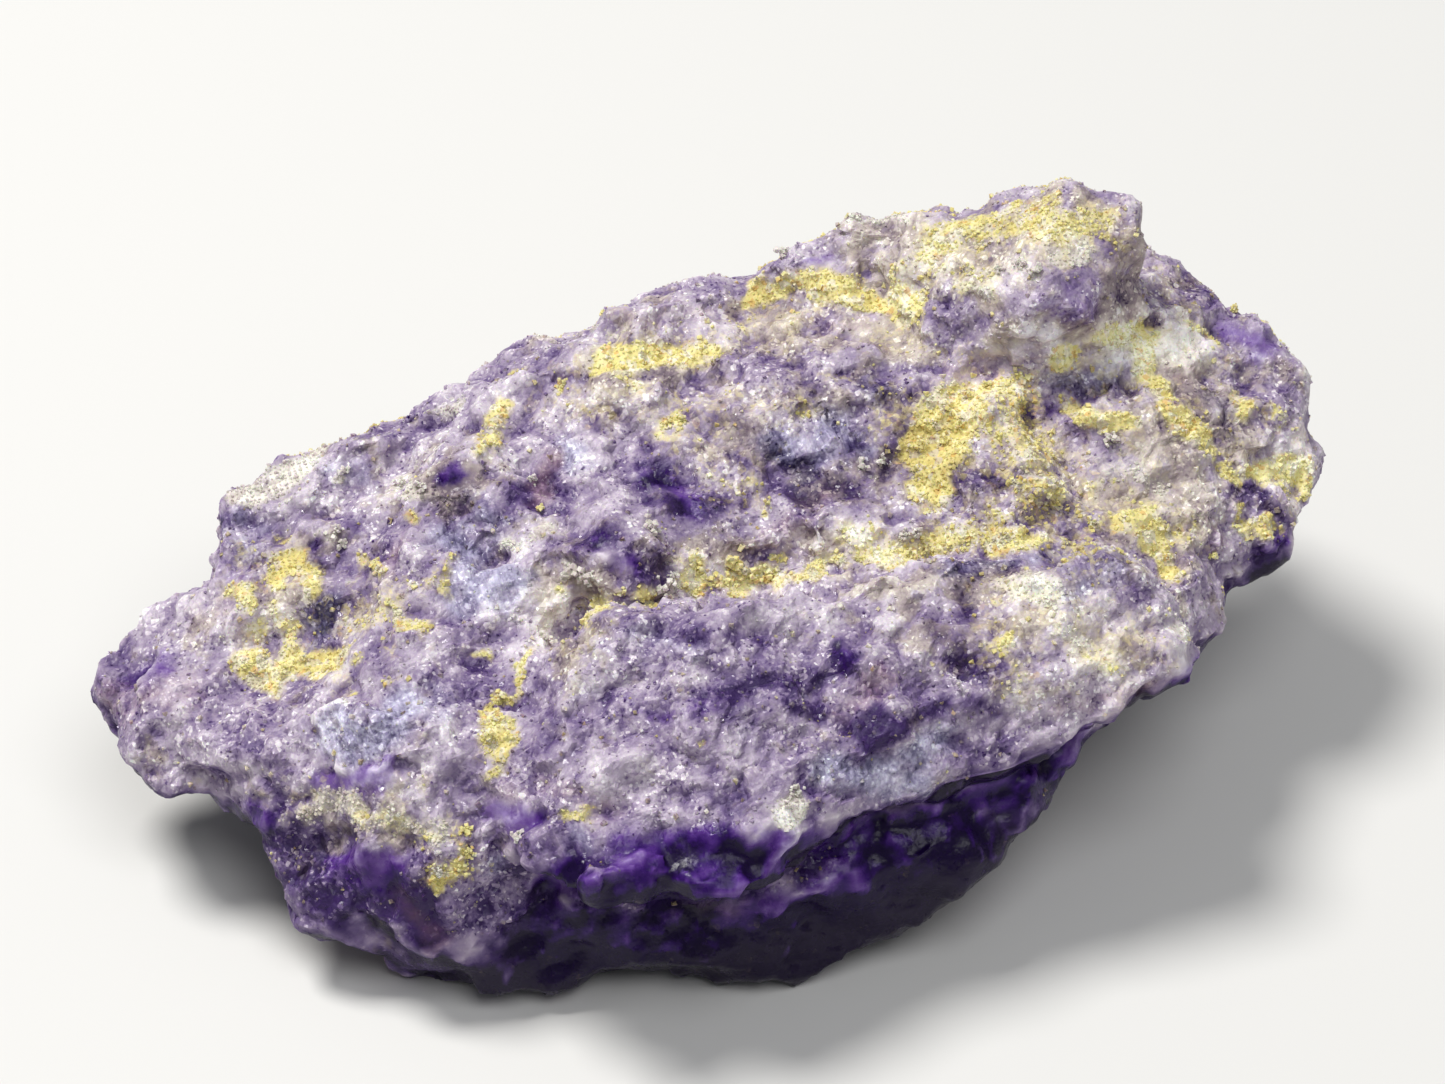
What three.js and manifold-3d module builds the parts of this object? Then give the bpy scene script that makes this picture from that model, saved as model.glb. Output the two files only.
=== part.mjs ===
// A hand specimen of coquimbite: one lump of intergrown violet crystals, 61 mm long.
// Millimetres, +Z up, +X along the length. The origin is under the middle of the lump, on the
// broken face that it rests on.
import * as THREE from "three";
import { ConvexGeometry } from "three/addons/geometries/ConvexGeometry.js";
import { ConvexHull } from "three/addons/math/ConvexHull.js";
import { mergeVertices } from "three/addons/utils/BufferGeometryUtils.js";
import Module from "manifold-3d";

const wasm = await Module();
wasm.setup();

// ---------------------------------------------------------------- driving dimensions

const LENGTH = 61;             // X, from the snout's tip to the far lobe
const DEPTH = 37;              // Y, from the front rim to the back
const HEIGHT = 25.2;           // Z, to the top of the knob
const REST_CUT = 0.1;          // how much of the underside is broken off flat

const EDGE_SHARPNESS = 80;     // 4 rounds a mass nearly to an egg, 80 leaves its corners sharp
const JOIN_SHARPNESS = 90;     // the same for the creases where two masses meet
const HEART_RADIUS = 2;        // each mass surrounds the point that it grows from by this much
const SKIN_JITTER = 0.3;       // how unevenly the skin's corners are spread, as a share of a facet

const CLEAVAGE_CELL = 3.6;     // usual width of one cleaved block in the surface
const CLEAVAGE_STRETCH = 1.6;  // blocks are this much longer along X
const CLEAVAGE_STEP = 1.5;     // most that one block stands above another
const CLEAVAGE_RISE = 2.4;     // rise of a block's tilted face over its own width, at the most
const CREASE_SHARPNESS = 16;   // higher makes the creases between blocks narrower
const SWELL = 0.45;            // height of the broad waves in the surface
const SWELL_LENGTH = 8;        // length of those waves

const CRYSTAL_COUNT = 36;
const CRYSTAL_RADIUS = [0.9, 2.1];
const CRYSTAL_FLATNESS = [0.45, 0.8];
const CRYSTAL_CORNERS = 12;    // points that a crystal's flat faces are drawn round
const CRYSTAL_SINK = 0.3;      // share of its radius that its middle lies below the surface

// The three bodies that the lump is joined from. Each grows from its heart, a point inside it, out
// to its masses, which are given by their corners, [x, y, z]. Fineness sets the size of its facets.
const BODIES = [
  {
    heart: [-1, -3.5, 8.5],
    extent: [LENGTH, DEPTH, HEIGHT],
    fineness: 15,
    masses: {
      keel: [
        [-17, -16.9, -0.8], [-10, -18.6, -0.8], [-3.7, -20.4, -0.6], [0.8, -21.4, 1],
        [4.2, -21.2, 3], [6.6, -20.9, 4.6], [10.6, -19.8, 6.6],
        [8, -8, -0.8], [5, 3, -0.8], [-7, 6, -0.8], [-17, 2, -0.8], [-20.4, -8, -0.4],
        [-23.6, -12.6, 4.4], [-15, -17.5, 8], [0, -19.5, 8], [11, -18.4, 8.2], [20, -10, 9],
        [21, 2, 9], [14, 9, 10], [0, 10.5, 10], [-14, 9, 9], [-23, 2, 9],
      ],
      frontHump: [
        [-11.6, -9.2, 14.3], [-8, -8.8, 15.5], [-3, -9.4, 16.3], [1.4, -10.2, 16.6],
        [6, -10.7, 16.8], [10.2, -11.2, 16.8], [14.5, -11.7, 16.4], [18.5, -12.9, 15],
        [19.5, -16.3, 12.4], [19.2, -16.8, 10.8], [12.5, -19.4, 10.2], [7.7, -19.5, 9.8],
        [4.2, -20.3, 9.5], [-1, -21.6, 8.9], [-9.6, -21.4, 8.9], [-15.4, -18.3, 9],
        [-15.4, -14.6, 12.2], [-12.1, -16, 13], [-6.2, -18.3, 13.5], [0.6, -18.9, 13.6],
        [8.1, -17.6, 13.8],
      ],
      leftFlank: [
        [-27.9, -6.9, 7], [-25.2, -9.6, 6.8], [-20.9, -12.6, 10.1], [-17.2, -14.6, 11.5],
        [-16.2, -17.4, 10.2], [-16.2, -18.8, 7.5], [-18.3, -18.2, 5.8], [-24.8, -11.4, 5],
        [-24.2, -12.5, 3.4], [-20.5, -14.8, 1.4], [-16.5, -16.9, -0.4], [-27.2, -6, 9.4],
        [-22, -6.6, 12.6], [-17.3, -6.8, 14.1], [-12.9, -8.2, 14.1], [-13.8, -12.3, 13],
        [-24, -1, 11.6], [-18, 0, 13],
      ],
      backRidge: [
        [-20.8, 5.7, 13.6], [-17.4, 6.8, 15], [-12.8, 7.4, 15.9], [-7.8, 7.8, 17.3],
        [-3.9, 7.7, 18.3], [0.3, 8.4, 19], [4.2, 8.6, 19.7], [9.1, 9.6, 20.4],
        [13, 4, 20], [12.8, -0.7, 18.2], [14, -8.5, 15.4], [6.5, -8.1, 15.2],
        [-0.4, -7.2, 15], [-7.4, -6.5, 14.6], [-13.2, -7.2, 14], [-17.5, -5.4, 13.7],
        [-21.6, -2.4, 12.9], [-17, 11, 11], [-8, 12.8, 12.5], [2, 13.8, 13], [11, 13.4, 13],
        [14, 11, 8], [0, 12.5, 7], [-15, 10, 7], [-22, 4, 8], [16, 9.5, 17], [20, 7.6, 13],
      ],
      leftBlock: [
        [-24.7, 5.1, 12.8], [-24.9, 4, 10.4], [-25.2, 1, 12.2], [-22, 5.6, 13.5], [-17.4, 6.8, 15.2],
        [-20.6, -1.6, 13.5], [-24.8, -1.8, 12], [-23.5, 5.2, 8], [-18, 8, 8], [-24.6, 0, 6.5],
      ],
      snout: [
        [-32, 0.7, 7.6], [-31.1, 2.3, 8.5], [-29, 2.5, 9.6], [-25.4, 3.2, 11.4],
        [-31.4, -1.6, 6.5], [-29.7, -4.3, 6.6], [-27.2, -4.6, 10.4], [-24, -7, 11.2],
        [-28.8, -1.6, 10], [-29.2, -0.4, 4.2], [-26.8, -5, 4], [-27.4, -6.9, 5.6],
        [-26, 4, 6.5],
      ],
      rightShoulder: [
        [20.2, -13.4, 10.6], [21.1, -10.4, 9.6], [21.9, -7.4, 9], [19.6, -12.4, 13.8],
        [20.8, -9.6, 13], [20, -13, 8.4], [21, -7, 6.5], [14, -9.5, 15.4], [20, 2, 8],
        [14, -14, 8], [11, -12, 15.8], [10, -6, 15.4], [17.5, -6, 15],
      ],
    },
  },
  {
    heart: [15.4, 4.5, 19.5],
    extent: [1, 0.8, 0.8],
    fineness: 6,
    masses: {
      knob: [
        [10, 8.4, 21.2], [12.2, 7.2, 22.5], [13.5, 6.9, 23.3], [15.4, 6.2, 24.2], [17.6, 5, 25],
        [19.8, 3.8, 25.1], [21.2, 2.2, 24.7], [21.5, 1, 24], [21.4, -0.1, 22.4], [20, -0.4, 20.4],
        [19.9, -0.3, 23.5], [17.5, 0, 23.3], [14.4, 0.8, 22.6], [12.1, 2.6, 22], [10, 4.2, 21],
        [9.4, 4, 19.4], [10.6, 1.2, 17.8], [13.6, -0.8, 17], [16.7, -0.4, 17.6], [20, 7, 17],
        [12, 10.5, 17], [20.5, 5, 22], [14, 5, 13], [18, 3, 13],
      ],
    },
  },
  {
    heart: [20, -1.5, 12],
    extent: [1, 1.1, 0.8],
    fineness: 7,
    masses: {
      farLobe: [
        [22.7, 4.7, 19.2], [25.5, 4.8, 18.7], [26.8, 1.6, 17.9], [27.5, -1, 16.8],
        [28.6, -3.6, 15.4], [29.2, -5.7, 14], [29.3, -7.2, 12], [27.8, -8.2, 10.4],
        [24.8, -6.4, 9], [22, -7, 8.6], [17, 1, 18.2], [16.5, -5.6, 16.2], [16.5, -9, 14.8],
        [21.4, -9.4, 12.6], [20.5, -9.2, 9.8], [22, 8, 13], [25.4, 5.6, 10], [26.5, -1, 8.8],
        [17, 8, 16], [10, -2, 16.4], [9, 3, 17],
      ],
    },
  },
];

// Grooves and hollows pressed into the skin: a route, the depth and the half width.
const GROOVES = [
  { // the cleft between the front hump and the slope behind it
    depth: 1.3,
    reach: 1.9,
    route: [
      [19.1, -10.7, 14], [15.4, -9.7, 15], [10.7, -9.4, 15.4], [6.1, -9, 15.6], [1.3, -8.7, 15.4],
      [-3.3, -8.1, 15.2], [-8.1, -8, 14.8], [-11.6, -8.9, 14], [-13.7, -11.3, 13],
      [-15.3, -13.9, 12], [-15.9, -17, 10], [-16, -18.5, 7],
    ],
  },
  { // the undercut below the front rim
    depth: 1,
    reach: 1.7,
    route: [[-15, -18.4, 6.2], [-7, -20.2, 6.2], [0, -20.4, 6.4], [8, -19.4, 7.4], [15, -17, 8.4]],
  },
  { depth: 1.2, reach: 2.2, route: [[-23.5, -4.5, 12], [-20.5, -5.2, 12.8]] },
  { depth: 1.4, reach: 2, route: [[-8, -5.6, 15], [-5.2, -6.6, 15]] },
  { depth: 1.5, reach: 2.4, route: [[26, -7, 11.6], [24.5, -7.4, 12.4]] },
  { depth: 1.1, reach: 1.6, route: [[9.5, 0.6, 18], [14, -1.6, 17.4], [17.2, 0.2, 18]] },
];

// Blocks that stand out of the skin: [x, y, z, radius, flatness].
const BLOCKS = [
  [-6.9, -20.6, 8.9, 2.2, 0.8],    // overhanging crystals of the front rim
  [-4.3, -20.4, 9, 1.8, 0.8],
  [-10.2, -19.8, 8.8, 2, 0.8],
  [16.8, -16, 11.6, 2.2, 0.8],     // the prow, at the front rim's right end
  [-10.8, -1.4, 15, 1.9, 0.9],     // upright crystal on the slope
  [-9.3, -3.4, 14.6, 1.6, 0.8],
  [-7.2, -4, 14.6, 2.2, 0.7],      // dark crystal above the cleft
  [5.2, 8.2, 20.1, 1.8, 0.9],      // beads along the crest
  [9.2, 8.6, 20.6, 2, 0.9],
  [-29.8, 0.2, 8.2, 1.6, 0.9],     // beads of the snout
  [-29.8, -2.2, 7.4, 1.6, 0.9],
  [-28.3, -4.4, 7.2, 1.6, 0.9],
  [25, 4, 16.8, 2, 0.8],           // corners of the far lobe
  [26.8, 0.2, 14.9, 2.1, 0.8],
  [27.3, -3.4, 11.8, 2.2, 0.8],
];

// ---------------------------------------------------------------- repeatable chance

function chance(seed) {
  let state = seed >>> 0;
  return () => {
    state = (state + 0x6d2b79f5) >>> 0;
    let t = Math.imul(state ^ (state >>> 15), 1 | state);
    t = (t + Math.imul(t ^ (t >>> 7), 61 | t)) ^ t;
    return ((t ^ (t >>> 14)) >>> 0) / 4294967296;
  };
}

// A number from 0 to 1 that belongs to one cell of space and one channel.
function cellChance(i, j, k, channel) {
  return chance(i * 374761 + j * 668265 + k * 224682 + channel * 9176 + 77)();
}

// ---------------------------------------------------------------- relief

// Height of the cleaved blocks at a point. Each block is a tilted plane through its own seed, and
// blocks give way to their neighbours over a narrow crease.
function cleavage(p) {
  const q = p.clone().divideScalar(CLEAVAGE_CELL);
  q.x /= CLEAVAGE_STRETCH;
  const base = q.clone().floor();
  let weights = 0;
  let height = 0;
  for (let i = -1; i <= 1; i++) {
    for (let j = -1; j <= 1; j++) {
      for (let k = -1; k <= 1; k++) {
        const cell = [base.x + i, base.y + j, base.z + k];
        const share = (channel) => cellChance(...cell, channel);
        const seed = new THREE.Vector3(cell[0] + share(0), cell[1] + share(1), cell[2] + share(2));
        const offset = q.clone().sub(seed);
        const tilt = new THREE.Vector3(share(3) - 0.5, share(4) - 0.5, share(5) - 0.5);
        const plane = (share(6) - 0.5) * CLEAVAGE_STEP + offset.dot(tilt) * CLEAVAGE_RISE;
        const weight = Math.exp(-CREASE_SHARPNESS * offset.lengthSq());
        weights += weight;
        height += weight * plane;
      }
    }
  }
  return height / weights;
}

function swell(p) {
  const k = (2 * Math.PI) / SWELL_LENGTH;
  const along = Math.sin(k * (p.x * 0.7 + p.z * 0.6) + 1.3);
  const across = Math.sin(k * (p.y * 0.9 - p.x * 0.3) + 4.1);
  return SWELL * along * across;
}

const grooveLines = GROOVES.map(({ depth, reach, route }) => {
  const points = route.map((point) => new THREE.Vector3(...point));
  const lines = points.slice(1).map((point, n) => new THREE.Line3(points[n], point));
  return { depth, reach, lines };
});

function grooving(p) {
  const foot = new THREE.Vector3();
  let height = 0;
  for (const { depth, reach, lines } of grooveLines) {
    const gaps = lines.map((line) => line.closestPointToPoint(p, true, foot).distanceTo(p));
    height -= depth * Math.exp(-((Math.min(...gaps) / reach) ** 2));
  }
  return height;
}

// ---------------------------------------------------------------- the skin

// A mass's flat faces, as seen from the heart: each by its normal and how far away it lies.
function facesOf(corners, heart) {
  const points = corners.map((corner) => new THREE.Vector3(...corner));
  for (const [x, y, z] of [[1, 0, 0], [0, 1, 0], [0, 0, 1]]) {
    const arm = new THREE.Vector3(x, y, z).multiplyScalar(HEART_RADIUS);
    points.push(heart.clone().add(arm), heart.clone().sub(arm));
  }
  return new ConvexHull().setFromPoints(points).faces.map((face) => ({
    normal: face.normal,
    away: face.normal.dot(face.midpoint) - face.normal.dot(heart),
  }));
}

// How far a body reaches from its heart in one direction. A high power of the nearness of a
// mass's faces stands in for the nearest face alone, which softens its edges a little.
function reachOf(direction, masses) {
  let sum = 0;
  for (const faces of masses) {
    let nearness = 0;
    for (const { normal, away } of faces) {
      const towards = normal.dot(direction);
      if (towards > 0) nearness += (towards / away) ** EDGE_SHARPNESS;
    }
    sum += nearness ** (-JOIN_SHARPNESS / EDGE_SHARPNESS);
  }
  return sum ** (1 / JOIN_SHARPNESS);
}

function bodyOf({ heart: middle, extent, fineness, masses: cornerLists }, random) {
  const heart = new THREE.Vector3(...middle);
  const stretch = new THREE.Vector3(...extent);
  const masses = Object.values(cornerLists).map((corners) => facesOf(corners, heart));
  const ball = new THREE.IcosahedronGeometry(1, fineness);
  ball.deleteAttribute("normal");
  ball.deleteAttribute("uv");
  const geometry = mergeVertices(ball, 1e-4);
  const place = geometry.attributes.position;
  const jitter = () => (random() - 0.5) * (2 * SKIN_JITTER) / fineness;
  const p = new THREE.Vector3();
  for (let i = 0; i < place.count; i++) {
    p.fromBufferAttribute(place, i).add(new THREE.Vector3(jitter(), jitter(), jitter()));
    p.multiply(stretch).normalize();
    p.multiplyScalar(reachOf(p, masses)).add(heart);
    place.setXYZ(i, p.x, p.y, p.z);
  }
  geometry.computeVertexNormals();
  const outward = geometry.attributes.normal;
  const normal = new THREE.Vector3();
  for (let i = 0; i < place.count; i++) {
    p.fromBufferAttribute(place, i);
    normal.fromBufferAttribute(outward, i);
    p.addScaledVector(normal, cleavage(p) + swell(p) + grooving(p));
    place.setXYZ(i, p.x, p.y, p.z);
  }
  return solidOf(geometry);
}

// ---------------------------------------------------------------- solids

function solidOf(geometry) {
  const bare = geometry.clone();
  bare.deleteAttribute("normal");
  bare.deleteAttribute("uv");
  const merged = mergeVertices(bare, 1e-4);
  return new wasm.Manifold(
    new wasm.Mesh({
      numProp: 3,
      vertProperties: new Float32Array(merged.attributes.position.array),
      triVerts: new Uint32Array(merged.index.array),
    }),
  );
}

// An angular crystal: flat faces drawn round points that are scattered over a squashed ball.
function crystalOf(centre, radius, flatness, axis, random) {
  const turn = new THREE.Quaternion().setFromUnitVectors(new THREE.Vector3(0, 0, 1), axis);
  const points = Array.from({ length: CRYSTAL_CORNERS }, () => {
    const point = new THREE.Vector3();
    point.setFromSphericalCoords(1, Math.acos(2 * random() - 1), 2 * Math.PI * random());
    point.y *= between([0.7, 1], random());
    point.z *= flatness;
    return point.multiplyScalar(radius).applyQuaternion(turn).add(centre);
  });
  return solidOf(new ConvexGeometry(points));
}

const between = ([low, high], share) => low + (high - low) * share;

// Spots for small crystals, spread over the faces of a solid by area: each a point and a normal.
function spotsOn(solid, count, random) {
  const mesh = solid.getMesh();
  const corner = (t, n) => {
    const at = mesh.triVerts[3 * t + n] * mesh.numProp;
    return new THREE.Vector3().fromArray(mesh.vertProperties, at);
  };
  const triangles = [];
  let total = 0;
  for (let t = 0; t < mesh.triVerts.length / 3; t++) {
    const triangle = new THREE.Triangle(corner(t, 0), corner(t, 1), corner(t, 2));
    total += triangle.getArea();
    triangles.push({ triangle, upTo: total });
  }
  return Array.from({ length: count }, () => {
    const wanted = random() * total;
    const { triangle } = triangles.find(({ upTo }) => upTo >= wanted);
    return {
      point: triangle.getMidpoint(new THREE.Vector3()),
      normal: triangle.getNormal(new THREE.Vector3()),
    };
  });
}

// ---------------------------------------------------------------- the lump

function lump() {
  const random = chance(2417);
  const bare = BODIES.map((body) => bodyOf(body, random)).reduce((all, body) => all.add(body));
  const crystals = BLOCKS.map(([x, y, z, radius, flatness]) =>
    crystalOf(new THREE.Vector3(x, y, z), radius, flatness, new THREE.Vector3(0, 0, 1), random));
  for (const { point, normal } of spotsOn(bare, CRYSTAL_COUNT, random)) {
    const radius = between(CRYSTAL_RADIUS, random() ** 2);
    point.addScaledVector(normal, -CRYSTAL_SINK * radius);
    crystals.push(crystalOf(point, radius, between(CRYSTAL_FLATNESS, random()), normal, random));
  }
  const below = new THREE.BoxGeometry(2 * LENGTH, 2 * DEPTH, HEIGHT);
  below.translate(0, 0, REST_CUT - HEIGHT / 2);
  return crystals.reduce((all, crystal) => all.add(crystal), bare).subtract(solidOf(below));
}

function geometryOf(solid) {
  const mesh = solid.getMesh();
  const geometry = new THREE.BufferGeometry();
  geometry.setAttribute("position", new THREE.BufferAttribute(mesh.vertProperties, 3));
  geometry.setIndex(new THREE.BufferAttribute(mesh.triVerts, 1));
  geometry.computeBoundingBox();
  const { min, max } = geometry.boundingBox;
  geometry.translate(-(min.x + max.x) / 2, -(min.y + max.y) / 2, -min.z);
  const faceted = geometry.toNonIndexed();
  faceted.computeVertexNormals();
  return faceted;
}

const coquimbite = new THREE.MeshStandardMaterial({
  color: 0x7d6a96,
  roughness: 0.45,
  metalness: 0,
});

const specimen = new THREE.Mesh(geometryOf(lump()), coquimbite);
specimen.name = "coquimbite_mass";

const part = new THREE.Group();
part.add(specimen);

export default part;
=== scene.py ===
"""Looks of a hand specimen of coquimbite: a violet crystal lump dusted with yellow copiapite.

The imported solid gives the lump's form. Its skin is remeshed, then cut into crystal faces, and
loose grains of copiapite and coquimbite are seated on it. Lengths are millimetres in the solid's
frame until a mesh is written, in metres.
"""

import math

import bmesh
import bpy
import numpy as np
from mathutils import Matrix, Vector
from mathutils.bvhtree import BVHTree


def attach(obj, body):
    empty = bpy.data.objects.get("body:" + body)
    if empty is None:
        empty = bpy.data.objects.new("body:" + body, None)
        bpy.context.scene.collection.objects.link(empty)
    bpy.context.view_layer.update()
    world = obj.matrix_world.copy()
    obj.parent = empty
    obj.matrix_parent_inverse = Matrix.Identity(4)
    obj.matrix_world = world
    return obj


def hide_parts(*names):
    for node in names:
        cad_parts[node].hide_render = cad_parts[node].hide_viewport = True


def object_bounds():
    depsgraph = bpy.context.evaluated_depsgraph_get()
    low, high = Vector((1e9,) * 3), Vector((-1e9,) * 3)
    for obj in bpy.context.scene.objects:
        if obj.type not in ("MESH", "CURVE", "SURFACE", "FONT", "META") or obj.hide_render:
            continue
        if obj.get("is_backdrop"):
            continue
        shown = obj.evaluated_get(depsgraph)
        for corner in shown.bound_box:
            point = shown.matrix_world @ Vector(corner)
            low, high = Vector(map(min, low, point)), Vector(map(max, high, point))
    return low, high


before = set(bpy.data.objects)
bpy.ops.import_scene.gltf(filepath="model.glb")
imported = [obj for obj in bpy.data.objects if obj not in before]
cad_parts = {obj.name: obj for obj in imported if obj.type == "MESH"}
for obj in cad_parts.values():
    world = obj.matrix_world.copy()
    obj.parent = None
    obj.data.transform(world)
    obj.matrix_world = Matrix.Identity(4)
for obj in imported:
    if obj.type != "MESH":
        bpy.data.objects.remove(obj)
CAD_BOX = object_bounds()

MM = 0.001
LUMP = "coquimbite_mass"
BODY = "root"

# ============ camera

PHOTO_WIDTH = 1445
PHOTO_HEIGHT = 1084
SENSOR = 36.0
CAMERA_AZIMUTH = -16.0
CAMERA_ELEVATION = 40.0
CAMERA_DISTANCE = 240.0
CAMERA_TARGET = (1.11, 3.94, 9.9)
CAMERA_CLIP = (0.01, 10)  # in metres
VIEW_WIDTH = 69.0  # mm at the lump's middle
CAMERA_LENS = SENSOR * CAMERA_DISTANCE / VIEW_WIDTH
PIXEL = VIEW_WIDTH / PHOTO_WIDTH  # mm at the lump's middle

# ============ the skin's relief

SKIN_GRID = 0.28  # spacing of the skin's vertices
FIRST_SMOOTHING = 11  # passes that soften the solid's own facets
SWELL_LENGTH, SWELL_HEIGHT = 3.0, 0.5

# Crystal faces: width, lean, most that one moves the skin, softening passes.
FACETS = [(3.8, 0.30, 0.55, 3), (2.0, 0.38, 0.30, 1), (1.0, 0.38, 0.13, 1)]
CALM_FACET = 2.5  # faces narrower than this show less on clear crystal
FACE_SHARES = (0.35, 0.65)  # what the coarse and the middle faces count for in "face"
SMALL_CELL = 0.5  # faces smaller than this share of the median move less
LEAST_SLOPE = 0.4  # limits the move where a face stands on edge
SLOPE_FADE = (0.1, 0.5)
FOLDED = 0.2  # agreement with the smooth skin below which it is folded
UNFOLD_ROUNDS, UNFOLD_PASSES = 4, 8
UNFOLD_REACH, UNFOLD_GAIN = 2, 3  # how far beyond a fold the skin is softened with it

# The underside, and the clear crystal, which is calmer than the crust.
LOW = 10.0  # the underside lies below this height
UNDER_FADE = 4.0  # and fades out over this much above it
UNDER_FACING = (0.15, -0.35)  # the normal's height where it begins and is full
CALM_PASSES = 8  # softening passes of clear, worn and lowest places
CLEAR_GLASS = (0.3, 0.9)  # strengths of the glass strokes that make crystal clear
CLEAR_BELOW = (0.2, 0.6)  # and of the strokes below the rim
CALM_FACE_LOSS = 0.25  # share of the finer faces that clear crystal lacks
WORN_FACE_LOSS = 0.6  # and that worn crystal lacks
CALM_CREASE_LOSS = 0.7
SMOOTH_SHADED = 0.5  # faces calmer than this are shaded smooth

# Creases between neighbouring crystals: width of the crystals, depth, share that is open.
CREASES = [(2.9, 0.22, 0.45), (1.4, 0.12, 0.5), (0.55, 0.03, 1.0)]
CREASE_OPEN = (0.8, 1.2)
CREASE_PATCH, CREASE_EDGE = 1.6, 0.3  # open parts' length and a crease's width, in widths

# Strokes on the lump: (half width, strength, place, place, ...), in pixels of the photograph, a
# place being 1000 times its column plus its row. Here the strength is in mm: clefts and creases
# are below 0, ledges and blocks above.
RELIEF = [
    # the long cleft between the front hump and the back slope, and its arm down the front
    (10, -0.55, 1180548, 1100532, 1000543, 900553, 800568, 740577),
    (10, -0.6, 740577, 690590, 600600, 545625, 520655, 500700),
    (9, -0.5, 500700, 482760, 470800, 462850, 462890),
    # under the knob, and round the far lobe
    (10, -0.35, 905348, 960370, 1000380), (18, 1.5, 1000324, 1050319, 1105309), (19, 1.5, 818534),
    # the face below the rim, and the low end of the far lobe
    (24, 1.4, 610915, 660918, 720915, 790892, 850866, 920842), (20, 1, 920842, 980812, 1040790),
    (16, 1.2, 530842, 570858, 610880), (18, 1.3, 600872, 640880, 700884, 750878, 800866),
    (12, -0.6, 586868, 590884), (26, 2.2, 1262502, 1264522, 1256540),
    (8, -0.45, 1130350, 1136380, 1120410), (7, -0.55, 912396, 932388),
    # creases of the back slope
    (7, -0.5, 400462, 440472, 500474, 560486), (20, 0.8, 622560, 655566),
    (26, 1.6, 570575, 600572, 635570), (9, -0.5, 655500, 700515), (10, -0.45, 835425, 870447),
    # creases of the front hump
    (7, -0.6, 790704, 860716, 920720, 990710), (10, -0.45, 842640, 848662),
    (8, -0.35, 600692, 680700, 760690),
    # the left end
    (12, -0.6, 300612, 330640), (8, -0.5, 290765, 340780, 400772),
    (5, -0.3, 300700, 360692, 420668, 450652),
    # crystals that stand proud
    (17, 0.9, 572440, 572470), (22, 0.6, 615545, 650556), (22, 0.8, 1050375, 1110375),
    (17, 0.45, 1040495, 1062505), (15, 0.45, 855528, 885525), (22, 0.3, 980395, 930420, 915460),
    (20, 0.4, 330725, 390720), (24, 0.35, 470590, 500560), (11, 0.7, 114662), (11, 0.7, 110690),
    (10, 0.6, 132640), (12, 0.5, 150715),
]

# Where the groove below the rim and the one under the knob are filled: softening passes that
# mostly move the skin outwards.
LIP = [
    (30, 1, 530850, 600880, 660885, 720885, 790870, 860850, 930820),
    (36, 1, 600900, 660908, 720906, 790892, 860874, 930850, 1000812),
    (26, 1, 930820, 1000790, 1060770), (20, 1, 1040336, 1075334, 1105342, 1130332),
]
LIP_ROUNDS = 6
LIP_PASSES = 40
LIP_WEAR = 0.25  # how far the passes may also move the skin inwards

# Where the crystals are worn smooth: the knob.
WORN = [
    (50, 1, 950262, 1000235, 1050222, 1100222), (34, 1, 1010300, 1070290, 1115275),
]

# ============ colour patches

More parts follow.
